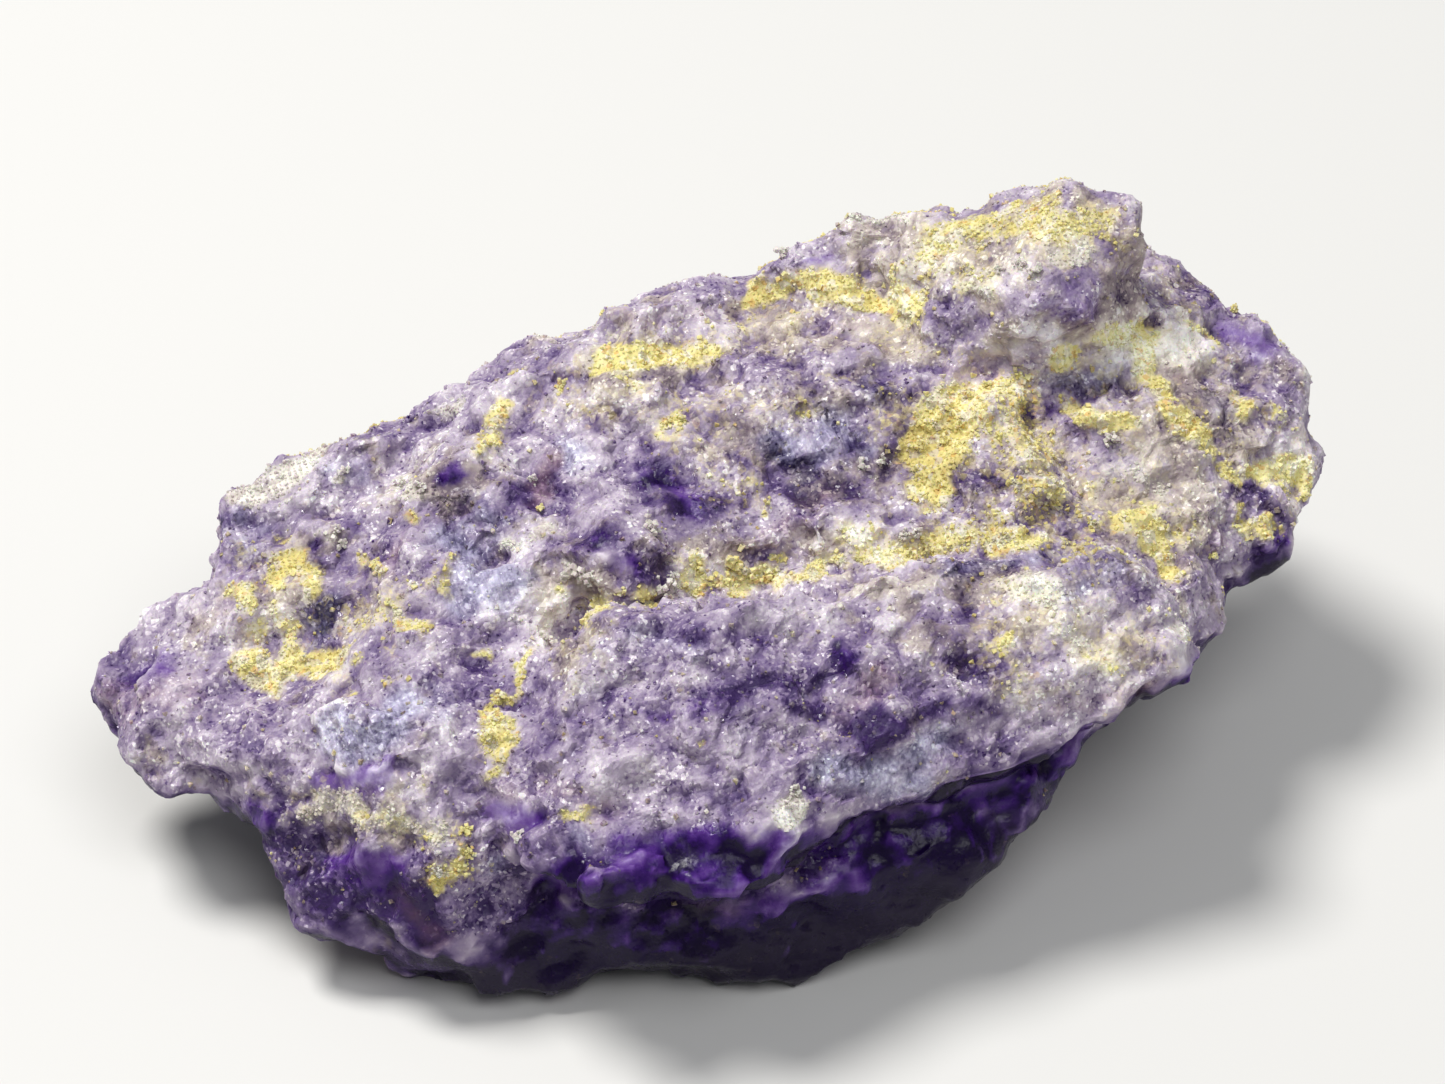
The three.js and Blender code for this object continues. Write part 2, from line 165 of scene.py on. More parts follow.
# How light the skin is: strokes below 0 darken it, strokes above 0 pale it. Some of them are
# painted shade or painted light, as said below.
TONE = [
    # dark crystals of the back slope, and painted shade in its hollows and along a ledge
    (11, -0.9, 448478, 472470), (9, -0.8, 485463, 510478, 526500), (8, -0.6, 390446, 418436),
    (11, -0.5, 330472, 375455), (14, -0.6, 555475, 566495, 556508), (16, -0.8, 640470, 672482),
    (19, -0.8, 660505, 690518, 714500), (10, -0.5, 605520, 626514),
    (23, -0.7, 600542, 628560, 652560), (9, -0.8, 700552, 706555), (8, -0.8, 758557, 762555),
    (10, -0.6, 603413, 616411), (10, -0.7, 640430, 665442), (16, -0.6, 752462, 772482, 794492),
    (12, -0.9, 832420, 850436, 868447), (12, -0.7, 862386, 888385), (9, -1, 914396, 931389),
    (22, -0.5, 790450, 822468, 838482), (18, -0.45, 770360, 808388), (13, -0.6, 958480, 992485),
    (11, -0.4, 995415, 1040409), (17, -0.3, 1058372, 1092384), (13, -0.5, 1116384, 1126398),
    # dark crystals of the front hump, and painted shade along the crease under its ledge
    (18, -0.5, 948582, 985562, 1010575), (16, -0.4, 1050560, 1118568, 1144592),
    (17, -0.5, 918608, 948630, 962612), (16, -0.7, 972660, 992664), (13, -1, 840644, 846660),
    (12, -0.5, 852615, 862636), (14, -0.7, 768692, 800686, 818674),
    (11, -0.9, 800709, 842718, 900725, 950713, 992708), (12, -0.7, 876738, 904736),
    (14, -0.5, 600692, 648700, 704700, 752692), (14, -0.4, 558718, 570742),
    (18, -0.4, 632616, 680622, 722632), (13, -0.5, 760645, 772662), (14, -0.4, 1108712, 1142690),
    # dark crystals of the left end
    (18, -0.4, 215522, 268522), (14, -0.3, 225547, 265547), (13, -0.6, 312535, 318556),
    (17, -0.9, 312622, 332606, 326634), (9, -0.6, 428560, 434566),
    (14, -0.6, 456622, 480636, 502636), (18, -0.25, 180702, 216692, 242700),
    # the knob's front, the groove under it, with painted light where the knob shades it, and the
    # far lobe
    (26, -0.25, 1040292, 1080290, 1118280, 1134276), (22, 0.3, 1040335, 1084330, 1120320),
    (26, -0.2, 945312, 1005322), (28, 0.15, 1085350, 1150350, 1190345),
    (14, -0.5, 1104232, 1118240), (18, -0.2, 1175290, 1212302),
    (18, -0.3, 1195402, 1232420, 1272402), (16, -0.9, 1240508, 1262512, 1284515),
    (18, -0.5, 1300540, 1270556, 1250562), (13, -0.6, 1232495, 1256502),
    # below the rim: partly the crystal's dark violet, partly painted shade where the rim overhangs
    (22, -0.3, 1000790, 1060768, 1104756), (22, -0.35, 1185672, 1160700, 1100735),
    (30, -0.4, 530835, 575848), (22, -0.6, 418858), (24, -0.4, 315892, 335900),
    (22, -0.5, 582868, 596886), (20, -0.1, 990776, 1040766),
    (20, -0.25, 1045762, 1085746, 1125716, 1160690), (30, -0.4, 1180268), (34, -0.3, 280550),
    (30, 0.35, 550605, 560640), (26, -0.6, 640862, 700862, 768850),
    (24, -0.6, 838832, 900826, 950802), (16, -0.8, 410900, 432894, 418915),
    (20, -0.5, 350862, 392866),
    # painted shade on the underside
    (60, -0.9, 560950, 640952, 720950, 800930, 880890, 950850, 1010820),
    (50, -0.8, 500985, 600985, 700985, 800965, 900920, 960880), (36, -0.6, 350900, 390900, 420930),
    (30, -0.45, 260830, 310850),
    # broad darkening all over the lump, partly the crystal's own tone, partly painted shade
    (34, -0.15, 110690, 150700, 180680), (36, -0.15, 450490, 500500), (34, -0.3, 640490),
    (34, -0.3, 480560, 480585), (34, -0.4, 820490), (34, -0.3, 910420, 910480),
    (40, -0.35, 545690, 555755), (36, -0.3, 730690), (42, -0.25, 640760, 730765, 730820),
    (38, -0.35, 370550), (30, -0.4, 1275560), (40, -0.4, 350905, 400925), (30, -0.3, 275830),
    (30, -0.35, 100690),
    # pale crystals and dust, painted light in the cleft and in the knob's shadow, painted sheen on
    # a crystal face, and the darker places between them
    (34, 0.3, 640395, 645425), (34, 0.22, 340728, 400728), (42, 0.2, 1050345, 1120345),
    (34, 0.3, 1180345, 1150370), (32, 0.45, 1085340, 1185342),
    (34, 0.22, 905270, 1000270, 1092272), (26, -0.2, 1000760, 960775),
    (20, 0.6, 690575, 730585, 770583), (30, 0.35, 640782), (26, -0.3, 618548), (20, -0.4, 258512),
    (26, -0.25, 700620), (26, -0.2, 640700), (26, 0.25, 850600), (30, -0.25, 345728, 405720),
    # the rim's violet edge, darkened partly as painted shade over its shine, and painted shade on
    # the face below it
    (18, -0.35, 660842, 760842), (22, -0.8, 572878, 604884, 650896),
    (22, -0.8, 650896, 700894, 740888, 775870, 806846), (30, -0.25, 640915, 720915),
    (30, -0.3, 550965, 640975),
    # broad painted light and painted shade all over the lump, mixed with its own tone
    (30, 0.2, 190690, 280620, 300690), (30, 0.25, 460550, 550620, 640550),
    (30, 0.25, 460620, 640690), (18, -0.4, 1194414), (16, -0.4, 1128450),
    (15, -0.5, 1050500, 1064508), (20, -0.35, 1205292), (30, -0.15, 1045295, 1115290),
    (36, 0.25, 1005280, 995345), (36, 0.25, 905275, 910345), (34, 0.35, 870540, 915550),
    (34, 0.25, 820550), (40, 0.3, 365480, 290490), (46, 0.45, 1275460, 1275490),
    (34, 0.25, 910760), (36, 0.25, 1000690, 1080690), (34, 0.08, 150642, 192612, 222592),
    (30, -0.45, 890690, 925695), (26, -0.4, 440690, 475690),
    # pale dust on the ledges
    (34, 0.35, 1050610, 1120610, 1150630), (26, 0.35, 900625, 930560),
    (24, 0.14, 302545, 352506, 382500), (26, 0.2, 540772, 582762, 622762),
    (34, 0.2, 602792, 662800, 722790), (24, 0.18, 700750, 742768),
    (30, 0.16, 800612, 860592, 892600), (20, 0.2, 872672, 850692), (28, 0.16, 1070642, 1122630),
    (22, 0.14, 1022742, 1082738), (26, 0.1, 1052480, 1112475, 1172492), (18, 0.23, 860530, 884540),
    (24, 0.14, 640330, 702310), (20, 0.14, 742290, 782266), (18, 0.16, 858236, 902230),
    (24, 0.16, 782350, 822332, 872330), (26, 0.09, 1100202, 1122222), (18, 0.16, 700540, 722482),
    (18, 0.16, 570502, 582522), (20, 0.18, 1200542, 1222562),
    # painted sheen on three crystal faces
    (16, 0.2, 832770, 880782, 930762, 958746), (14, 0.23, 572440, 592454),
    (26, 0.14, 330728, 370738, 398716),
]

# Which hue the skin has, or what lies on it.
# blue-grey crystal, and painted sheen on faces that catch the light
SLATE_AND_SHEEN = [
    (28, 0.9, 462540, 482562, 500582, 470602), (20, 0.7, 440536, 500520),
    (32, 1, 330726, 370738, 402712), (24, 0.6, 430690, 442722),
    (28, 0.9, 782430, 822462, 832412, 862440), (20, 0.7, 862384, 890392),
    (22, 0.9, 832770, 872782, 922766, 952746), (20, 0.8, 1062592, 1082575),
    (26, 0.6, 950575, 1000560, 1060556, 1120572), (15, 1, 572440, 592456),
    (18, 0.6, 330462, 372470), (18, 0.7, 1040490, 1060510), (20, 0.9, 1056374, 1090376, 1118372),
    (18, 0.5, 740720, 762742), (19, 1.1, 312622, 332606), (18, 0.5, 470500, 502512),
    (14, 0.8, 484886, 502872), (15, 0.6, 570825, 592836), (18, 0.5, 600650, 590682),
    (24, 0.6, 216524, 268530, 240548), (22, 0.5, 1200402, 1240422), (22, 0.5, 640640, 700644),
    (16, 0.5, 690470, 720470),
]
ROSE = [
    (18, 0.9, 540494, 546470, 560446), (24, 0.6, 392545, 380572),
    (30, 0.6, 112702, 150692, 182690), (28, 0.5, 200620, 240632, 216592),
    (24, 0.7, 840702, 862694, 884680), (26, 0.5, 500780, 560790, 602802),
    (26, 0.5, 1060712, 1102692, 1182680), (24, 0.6, 350862, 392872, 430940),
    (16, 0.8, 680908, 732908), (26, 0.6, 940370, 1002382), (24, 0.5, 820330, 884330),
    (28, 0.5, 1200522, 1222546), (26, 0.6, 1300442, 1320482), (24, 0.5, 1100330, 1142320),
    (22, 0.5, 640312, 702310), (24, 0.5, 780532, 822502), (20, 0.6, 1180380, 1190370),
]
GLASS = [
    (12, 1.1, 318786, 350779, 388774), (14, 0.9, 256815, 270826),
    (24, 0.9, 345858, 392864, 372882), (20, 0.9, 498810, 532816, 512832),
    (14, 0.8, 560862, 602866), (18, 1, 540882, 602896, 642890),
    (34, 1.3, 640862, 682862, 742862, 772850), (28, 1.1, 680892, 732890),
    (22, 0.6, 720832, 772826), (24, 1.3, 840832, 900826, 950802, 1000786, 1060766, 1104756),
    (24, 1, 860872, 902852, 942832), (18, 0.9, 985780, 1030768),
    (17, 0.8, 1040764, 1085748, 1125718, 1165688),
    (24, 1.2, 572878, 604884, 650896, 700894, 740888, 806846),
    (20, 1.2, 1192664, 1160698, 1130716, 1100736, 1070750, 1040766),
    (40, 0.9, 560940, 640940, 720930, 800910, 880880, 960840),
    (24, 0.7, 1108736, 1152710, 1188690), (18, 0.7, 134682, 162670),
    (15, 0.8, 1240330, 1266340, 1260362), (9, 0.9, 1256382, 1260392), (10, 0.9, 815262, 826264),
    (14, 0.7, 1300512, 1312492), (14, 0.7, 1260552, 1292545), (16, 0.6, 205570, 238585),
    (24, 0.5, 1050300, 1100300, 1082322), (13, 0.9, 448478, 472470),
    (17, 0.8, 640472, 672482, 690516), (18, 0.8, 600548, 630566), (12, 0.8, 840648, 846660),
    (16, 0.5, 640702, 700704),
]
CREAM = [
    (16, 1.4, 250490, 272472, 302460, 332441, 372421), (9, 0.8, 270480, 292490),
    (6, 1.2, 342470, 348471), (8, 1, 402481, 424490), (12, 0.9, 334534, 346545),
    (10, 0.6, 288520, 284532), (14, 0.7, 438412, 452398),
    (12, 1.1, 1002262, 1034270, 1056256, 1084250), (9, 0.9, 958285, 986285),
    (9, 0.9, 856464, 878472), (20, 0.9, 1008590, 1042590), (13, 1.1, 792788, 796806, 780800),
    (18, 0.5, 1060622, 1102642), (10, 0.9, 570570, 582580), (8, 0.9, 1104440, 1132443),
    (12, 0.4, 1168352, 1184360), (18, 0.5, 1110475, 1162482), (8, 1.1, 782248, 788247),
    (11, 0.7, 562332, 622323), (12, 0.6, 852226, 902223),
    (22, 0.6, 300812, 350802, 402812, 442832), (16, 0.6, 262670, 292655),
    (12, 0.6, 510560, 560530), (12, 0.6, 1180620, 1190640), (16, 0.4, 700540, 722546),
    (26, 0.35, 200612, 252610),
]
WARM = [
    (34, 1.5, 905268, 1000268), (34, 1.6, 1090340, 1180345), (34, 1.6, 450480, 470480),
    (34, 1.5, 820480), (34, 1.5, 905345), (30, 1.4, 1085205), (90, 1, 1120290, 1200400, 1150520),
    (80, 0.9, 900250, 1060230), (80, 0.8, 900600, 1060610, 1100660),
    (70, 0.8, 620360, 800340, 880430), (50, 0.9, 690430, 740450), (40, 0.8, 590640),
    (60, 0.7, 240620, 330560, 420470), (50, 0.8, 540580, 700560, 860540),
    (50, 0.6, 300810, 400830),
]
COPIAPITE = [
    # a thin film
    (42, 0.34, 940235, 1040240, 1110232), (44, 0.27, 1070340, 1120400, 1150480),
    (42, 0.27, 1180300, 1240390, 1290450), (44, 0.34, 1000600, 1100610, 1150640),
    (44, 0.36, 900410, 980450, 1060470), (36, 0.3, 640400, 740400, 820400),
    (34, 0.36, 690430, 720450), (30, 0.34, 590640), (34, 0.34, 600345, 700340, 800320, 905275),
    (34, 0.3, 900340, 980370), (44, 0.58, 1010400, 1030480), (28, 0.6, 860548, 960545),
    (38, 0.42, 1060545, 1110550), (34, 0.38, 710480, 750485), (30, 0.4, 350615, 390620),
    (34, 0.45, 1260470, 1285490), (34, 0.4, 910272, 1000265), (30, 0.26, 300800, 400810, 440850),
    # left end
    (14, 1, 265590, 272570, 300562, 310584), (12, 0.8, 234594, 247602, 243616),
    (12, 0.9, 272625, 296638), (17, 1.3, 254656, 274686, 290660, 322662, 338657),
    (9, 0.9, 284541, 300537), (8, 0.8, 362568, 378579), (13, 0.5, 410582, 455590, 460562),
    (10, 0.9, 395625, 433631), (12, 0.5, 350656, 400650, 440640), (6, 0.9, 350692, 402678),
    (8, 0.6, 410510, 418518), (7, 1, 479659, 489665), (22, 0.35, 240560, 300600, 340680),
    # the cleft's arm down the front
    (8, 1, 526645, 516675, 508696, 500702), (11, 1.1, 489714, 501735, 485746),
    (9, 0.7, 480760, 470776), (9, 1, 463832, 470835), (11, 0.9, 472858, 456890),
    (14, 0.5, 440870, 482880), (8, 0.8, 562815, 586808), (20, 0.4, 350802, 402812, 440832),
    (5, 1, 686738, 691739),
    # the long cleft
    (11, 1, 552601, 600602, 650590), (8, 1, 604610, 580630, 570646),
    (13, 1.3, 690570, 700586, 722590, 745585, 766580), (9, 1.3, 732560, 740562),
    (6, 1, 772557, 778557), (5, 1, 766503, 770504), (11, 0.9, 780574, 802567, 850562, 892560),
    (12, 1.1, 902560, 926550), (12, 1, 958541, 1000531, 1022540, 1042538),
    (14, 1.2, 1084520, 1118520, 1152525), (9, 0.9, 1088514, 1102518),
    (13, 1.3, 1150537, 1162556, 1172575), (7, 1, 1208551, 1216561),
    (24, 0.4, 900540, 1000512, 1120500, 1182520), (22, 0.4, 1000640, 1012680, 1060640, 1120660),
    (8, 1, 1003634, 1024637),
    # the crest
    (13, 1, 478448, 500432, 505402), (9, 0.9, 498376, 516372), (6, 1.1, 562384, 568387),
    (17, 1.4, 602350, 626359, 662355, 702352), (10, 0.6, 628376, 652382),
    (10, 0.7, 704331, 752328, 790324), (11, 1.1, 664426, 692420),
    (16, 1.3, 760298, 802290, 852290, 900296, 915310), (24, 0.35, 540400, 650400, 722400, 784410),
    (13, 0.5, 800400, 832420), (30, 0.25, 560360, 700340, 800340),
    # the knob
    (24, 0.7, 930246, 962226, 1012216, 1062226, 1102216), (10, 1, 1046185, 1040202),
    (12, 0.9, 998216, 1022205), (12, 1, 892269, 922262), (9, 1, 972245, 992251),
    (8, 0.9, 1080225, 1116241),
    # the thick patch below the knob
    (19, 1.4, 990392, 962400, 938420, 925442, 933468, 926488), (22, 1.2, 980418, 958440, 948460),
    (28, 0.5, 1000442, 1042430, 1022472), (18, 0.4, 1050500, 1092482, 1062460),
    # the far lobe
    (13, 1.8, 1062348, 1094350), (14, 1.9, 1112335, 1150340), (13, 1.4, 1142356, 1152390, 1162408),
    (11, 1.3, 1165410, 1190436, 1206444), (12, 1.4, 1082407, 1104422, 1138427),
    (10, 1, 1206444, 1226474, 1242486), (9, 0.8, 1199324, 1216341), (10, 0.9, 1234399, 1251406),
    (8, 1, 1276415, 1284416), (13, 1.2, 1250472, 1264467, 1298476),
    (9, 0.9, 1236524, 1260530, 1278528), (7, 0.9, 1237303, 1243304), (7, 0.8, 1154265, 1176270),
    (34, 0.25, 1160330, 1200350, 1180440, 1260440),
]
HUES = {"slate_and_sheen": SLATE_AND_SHEEN, "rose": ROSE, "glass": GLASS, "cream": CREAM, "warm": WARM,
        "copiapite": COPIAPITE}

# Where the photograph doesn't show the lump, each hue is spread by waves of this length, mm,
# over this share of the skin.
HIDDEN_SPREAD = {
    "slate_and_sheen": (7.0, 0.22),
    "rose": (9.0, 0.25),
    "glass": (8.0, 0.16),
    "cream": (6.0, 0.10),
    "warm": (9.0, 0.6),
    "copiapite": (5.5, 0.17),
}
# Where the crystal is clear and dark below the rim, in the same way as the strokes above.
CALM = [
    (46, 1.2, 560950, 640952, 720950, 800930, 880890, 950850, 1010820),
    (50, 1.2, 500985, 600985, 700985, 800965, 900920, 960880),
]
PATCH_WARP = [(2.2, 0.7), (0.8, 0.45)]  # (wave length, shift) that make the patches ragged
SEEN = (-0.25, 0.15)  # how far a place turns to the camera, from hidden to seen
HIDDEN_EDGE = (-0.10, 0.08)  # how softly the hidden patches begin
FACING_UP = (-0.2, 0.25)  # the normal's height where dust begins and is full
FACING_UP_PASSES = 8
SETTLING = ("cream", "copiapite")  # the hues that only settle from above

# The skin's lightness: what it is at rest, and what each thing adds, painted shade and painted
# highlights among them.
TONE_REST = 0.575
UNDER_SHADE = -0.50  # painted shade on the underside, below
UNDER_SHADE_PASSES = 20
TONE_STROKES = 0.50
TONE_WAVES = [(2.6, 0.07), (1.2, 0.10), (0.6, 0.12)]
HOLLOW_SHADE = -0.15  # painted shade in hollows of this depth, after so much softening
HOLLOW_DEPTH, HOLLOW_PASSES = 0.5, 30
# painted shade in the creases between crystals, by their depth
CREASE_SHADE = -0.35
# painted highlights on ridges and painted shade in dips, the highlights stronger on clear crystal
RIDGE_HIGHLIGHT, CLEAR_RIDGE_HIGHLIGHT, RIDGE_PASSES = 0.07, 0.20, 3

# ============ loose grains

SQUARE = [(-1, -1), (1, -1), (1, 1), (-1, 1)]
GRAIN_CORNERS = [(x, y, z) for z in (-1, 1) for x, y in SQUARE]
GRAIN_FACES = [(0, 3, 2, 1), (4, 5, 6, 7), (0, 1, 5, 4), (1, 2, 6, 5), (2, 3, 7, 6), (3, 0, 4, 7)]
CORNER_SHIFT = (-0.4, 0.25)  # how far a corner may move in and out, in half sides
HALF_SIDES = (0.35, 0.5)  # half the sides of a chip, in its sizes

CHIP_SQUARE = 0.5 + 0.25 * np.array([SQUARE])

# Crystals large enough to be placed one by one, by hue: (place, diameter in mm).
PLACED = {
    "copiapite": [
        (735561, 0.88), (697571, 0.76), (711582, 0.64), (728580, 0.6), (752578, 0.64),
        (766582, 0.56), (775557, 0.44), (690588, 0.64), (742572, 0.48), (768504, 0.4),
        (540509, 0.4), (668424, 0.48), (683421, 0.4), (565384, 0.48), (467832, 0.6),
        (470852, 0.48), (463868, 0.48), (503697, 0.52), (496722, 0.48), (490738, 0.48),
        (896268, 0.48), (1234310, 0.44), (912556, 0.48), (922548, 0.44), (970395, 0.52),
        (946408, 0.56), (932424, 0.52), (960424, 0.52), (922446, 0.52), (944442, 0.48),
        (916470, 0.48), (986388, 0.48), (1006536, 0.48), (1092524, 0.44), (1166560, 0.48),
        (1212556, 0.48), (265655, 0.44), (284672, 0.48), (302660, 0.44),
    ],
    "cream": [
        (650530, 0.76), (662589, 0.76), (345471, 0.56), (402483, 0.44), (421488, 0.6),
        (337532, 0.56), (344545, 0.52), (575572, 0.88), (592578, 0.64), (785254, 0.68),
        (797792, 0.64), (786806, 0.48), (861467, 0.72), (880462, 0.48), (1112441, 0.72),
        (532480, 0.44), (545640, 0.64), (520838, 0.56), (436871, 0.48), (1020262, 0.72),
        (1036272, 0.64), (1000268, 0.48), (674578, 0.48), (905535, 0.48), (917533, 0.48),
    ],
}
PLACED_SEED = 5
PLACED_CHIPS = 18  # chips that make up one placed crystal
PLACED_SIZES = (0.18, 0.42)  # a chip's size, in diameters of the crystal
PLACED_SPREAD, PLACED_LIFT = 0.27, 0.1  # from the middle and off the skin, in diameters
PLACED_TONES, PLACED_HUE = (0.50, 0.75), 1.2

# Small grains, scattered by how much of a hue the skin has:
# (piece, hue, count, smallest and largest in mm, least share of the hue).
SCATTERED = [
    ("copiapite_grains", "copiapite", 8000, 0.08, 0.28, 0.35),
    ("cream_grains", "cream", 3000, 0.08, 0.24, 0.35),
    ("violet_grains", None, 2000, 0.08, 0.18, 0.0),
]
STRAY_SHARE = 0.0015  # how thickly grains lie where the skin lacks their hue
GRAIN_SINK = 0.55
GRAIN_TONES = 0.12
GRAIN_HUE = 0.4  # added to the skin's hue

# ============ noise

# Channels keep the noise of one use apart from that of the others.
SWELL_CHANNEL, WARP_CHANNEL, TONE_CHANNEL, HUE_CHANNEL = 3, 31, 61, 200
CREASE_CHANNEL, OPEN_CHANNEL, FACET_CHANNEL = 71, 81, 101
LEAN_STEP, FACE_STEP = 11, 17  # added to a facet's channel for its lean and its lightness
HUE_STEP, OCTAVE_STEP = 13, 7
WAVE_START, SEED_START = 31.7, 57.3  # these move the noise off the frame's origin
FAR = 9.0  # farther than any seed lies, in widths


def hashed(cells, channel):
    """Repeatable numbers from 0 to 1 that belong to whole-number cells of space."""
    x, y, z = cells[..., 0], cells[..., 1], cells[..., 2]
    n = (x * 73856093) ^ (y * 19349663) ^ (z * 83492791) ^ (channel * 40503117 + 977)
    n = (n ^ (n >> 13)) * 1274126177 & 0xFFFFFFFF
    n = (n ^ (n >> 15)) * 1911520717 & 0xFFFFFFFF
    return ((n ^ (n >> 16)) & 0xFFFFFF) / 0x1000000


def waves(points, length, channel):
    """Smooth noise from 0 to 1 with waves of one length."""
    place = points / length + WAVE_START
    cell = np.floor(place).astype(np.int64)
    t = place - cell
    t = t * t * (3 - 2 * t)
    total = np.zeros(len(points))
    for corner in np.ndindex(2, 2, 2):
        share = np.prod(np.where(corner, t, 1 - t), axis=1)
        total += share * hashed(cell + np.array(corner), channel)
    return total


def rough_waves(points, length, channel, octaves=3):
    """Noise from 0 to 1 with finer waves added to the long ones."""
    total = sum(waves(points, length / 2**n, channel + OCTAVE_STEP * n) / 2**n
                for n in range(octaves))
    return total / sum(1 / 2**n for n in range(octaves))


def nearest_seeds(points, width, channel):
    """The cell of the nearest scattered seed, and how near it and the next one lie, in widths."""
    place = points / width + SEED_START
    home = np.floor(place).astype(np.int64)
    first = np.full(len(points), FAR)
    second = np.full(len(points), FAR)
    owner = home.copy()
    for step in np.ndindex(3, 3, 3):
        cell = home + np.array(step) - 1
        seed = cell + np.stack([hashed(cell, channel + n) for n in range(3)], axis=-1)
        gap = np.linalg.norm(place - seed, axis=1)
        nearer = gap < first
        second = np.where(nearer, first, np.minimum(second, gap))
        owner[nearer] = cell[nearer]
        first = np.where(nearer, gap, first)
    return owner, first, second


def smoothstep(low, high, value):
    t = np.clip((value - low) / (high - low), 0, 1)
    return t * t * (3 - 2 * t)


def dots(a, b):
    """The dot product of each pair of rows."""
    return np.einsum("ij,ij->i", a, b)


# ============ camera and strokes

def direction(azimuth, elevation):
    """The unit vector towards an azimuth, counted from the front, and an elevation."""
    a, e = math.radians(azimuth), math.radians(elevation)
    return Vector((math.sin(a) * math.cos(e), -math.cos(a) * math.cos(e), math.sin(e)))


def camera_axes():
    """The camera's right, up and back directions."""
    back = direction(CAMERA_AZIMUTH, CAMERA_ELEVATION)
    azimuth = math.radians(CAMERA_AZIMUTH)
    right = Vector((math.cos(azimuth), math.sin(azimuth), 0))
    return right, back.cross(right), back


def add_object(name, data):
    piece = bpy.data.objects.new(name, data)
    bpy.context.collection.objects.link(piece)
    return piece


def add_looking(name, data, place, back):
    """Adds a camera or a lamp that has a direction at its back."""
    thing = add_object(name, data)
    thing.location = place
    thing.rotation_mode = "QUATERNION"
    thing.rotation_quaternion = (-back).to_track_quat("-Z", "Y")
    return thing


def make_camera():
    back = camera_axes()[2]
    data = bpy.data.cameras.new("camera")
    data.lens = CAMERA_LENS
    data.sensor_width = SENSOR
    data.clip_start, data.clip_end = CAMERA_CLIP
    place = (Vector(CAMERA_TARGET) + back * CAMERA_DISTANCE) * MM
    bpy.context.scene.camera = add_looking("camera", data, place, back)


def pixel(place):
    """The column and row of a stroke's place."""
    return divmod(place, 1000)


def spot(at, surface):
    """The point of the skin that a pixel of the photograph shows, and its normal, or None."""
    right, up, back = camera_axes()
    focal = CAMERA_LENS / SENSOR * PHOTO_WIDTH
    across = (at[0] - PHOTO_WIDTH / 2) / focal
    rise = (PHOTO_HEIGHT / 2 - at[1]) / focal
    ray = (right * across + up * rise - back).normalized()
    eye = Vector(CAMERA_TARGET) + back * CAMERA_DISTANCE
    return surface.ray_cast(eye, ray)[:2]


STROKE_STEP = 14  # pixels between the points where a stroke meets the skin
STROKE_REACH = 3  # half widths beyond which a stroke isn't felt


def route_on(surface, pixels):
    """The points where a stroke's route meets the skin."""
    steps = [pixels[0]]
    for a, b in zip(pixels, pixels[1:]):
        count = max(1, round(math.dist(a, b) / STROKE_STEP))
        steps += [(a[0] + (b[0] - a[0]) * n / count, a[1] + (b[1] - a[1]) * n / count)
                  for n in range(1, count + 1)]
    hits = [spot(step, surface)[0] for step in steps]
    return [np.array(hit) for hit in hits if hit is not None]


def strokes_on(points, strokes, surface, join):
    """The strokes' strength at each point: added up, or the strongest one.

    A stroke has its full strength on its middle line and 0.37 of it at its half width."""
    total = np.zeros(len(points))
    for half_width, strength, *places in strokes:
        width = half_width * PIXEL
        route = route_on(surface, [pixel(place) for place in places])
        if not route:
            continue
        margin = STROKE_REACH * width
        low, high = np.min(route, axis=0) - margin, np.max(route, axis=0) + margin
        near = np.nonzero(np.all((points > low) & (points < high), axis=1))[0]
        gap = np.full(len(near), np.inf)
        for a, b in zip(route, route[1:] or route):
            along = b - a
            reach = points[near] - a
            t = np.clip(reach @ along / max(float(along @ along), 1e-9), 0, 1)
            gap = np.minimum(gap, np.linalg.norm(reach - t[:, None] * along, axis=1))
        total[near] = join(total[near], strength * np.exp(-((gap / width) ** 2)))
    return total


# ============ the skin

def keep(piece, name, values):
    """Stores one number for each vertex, for the materials."""
    layer = piece.data.attributes.new(name, "FLOAT", "POINT")
    layer.data.foreach_set("value", values.astype(np.float32))


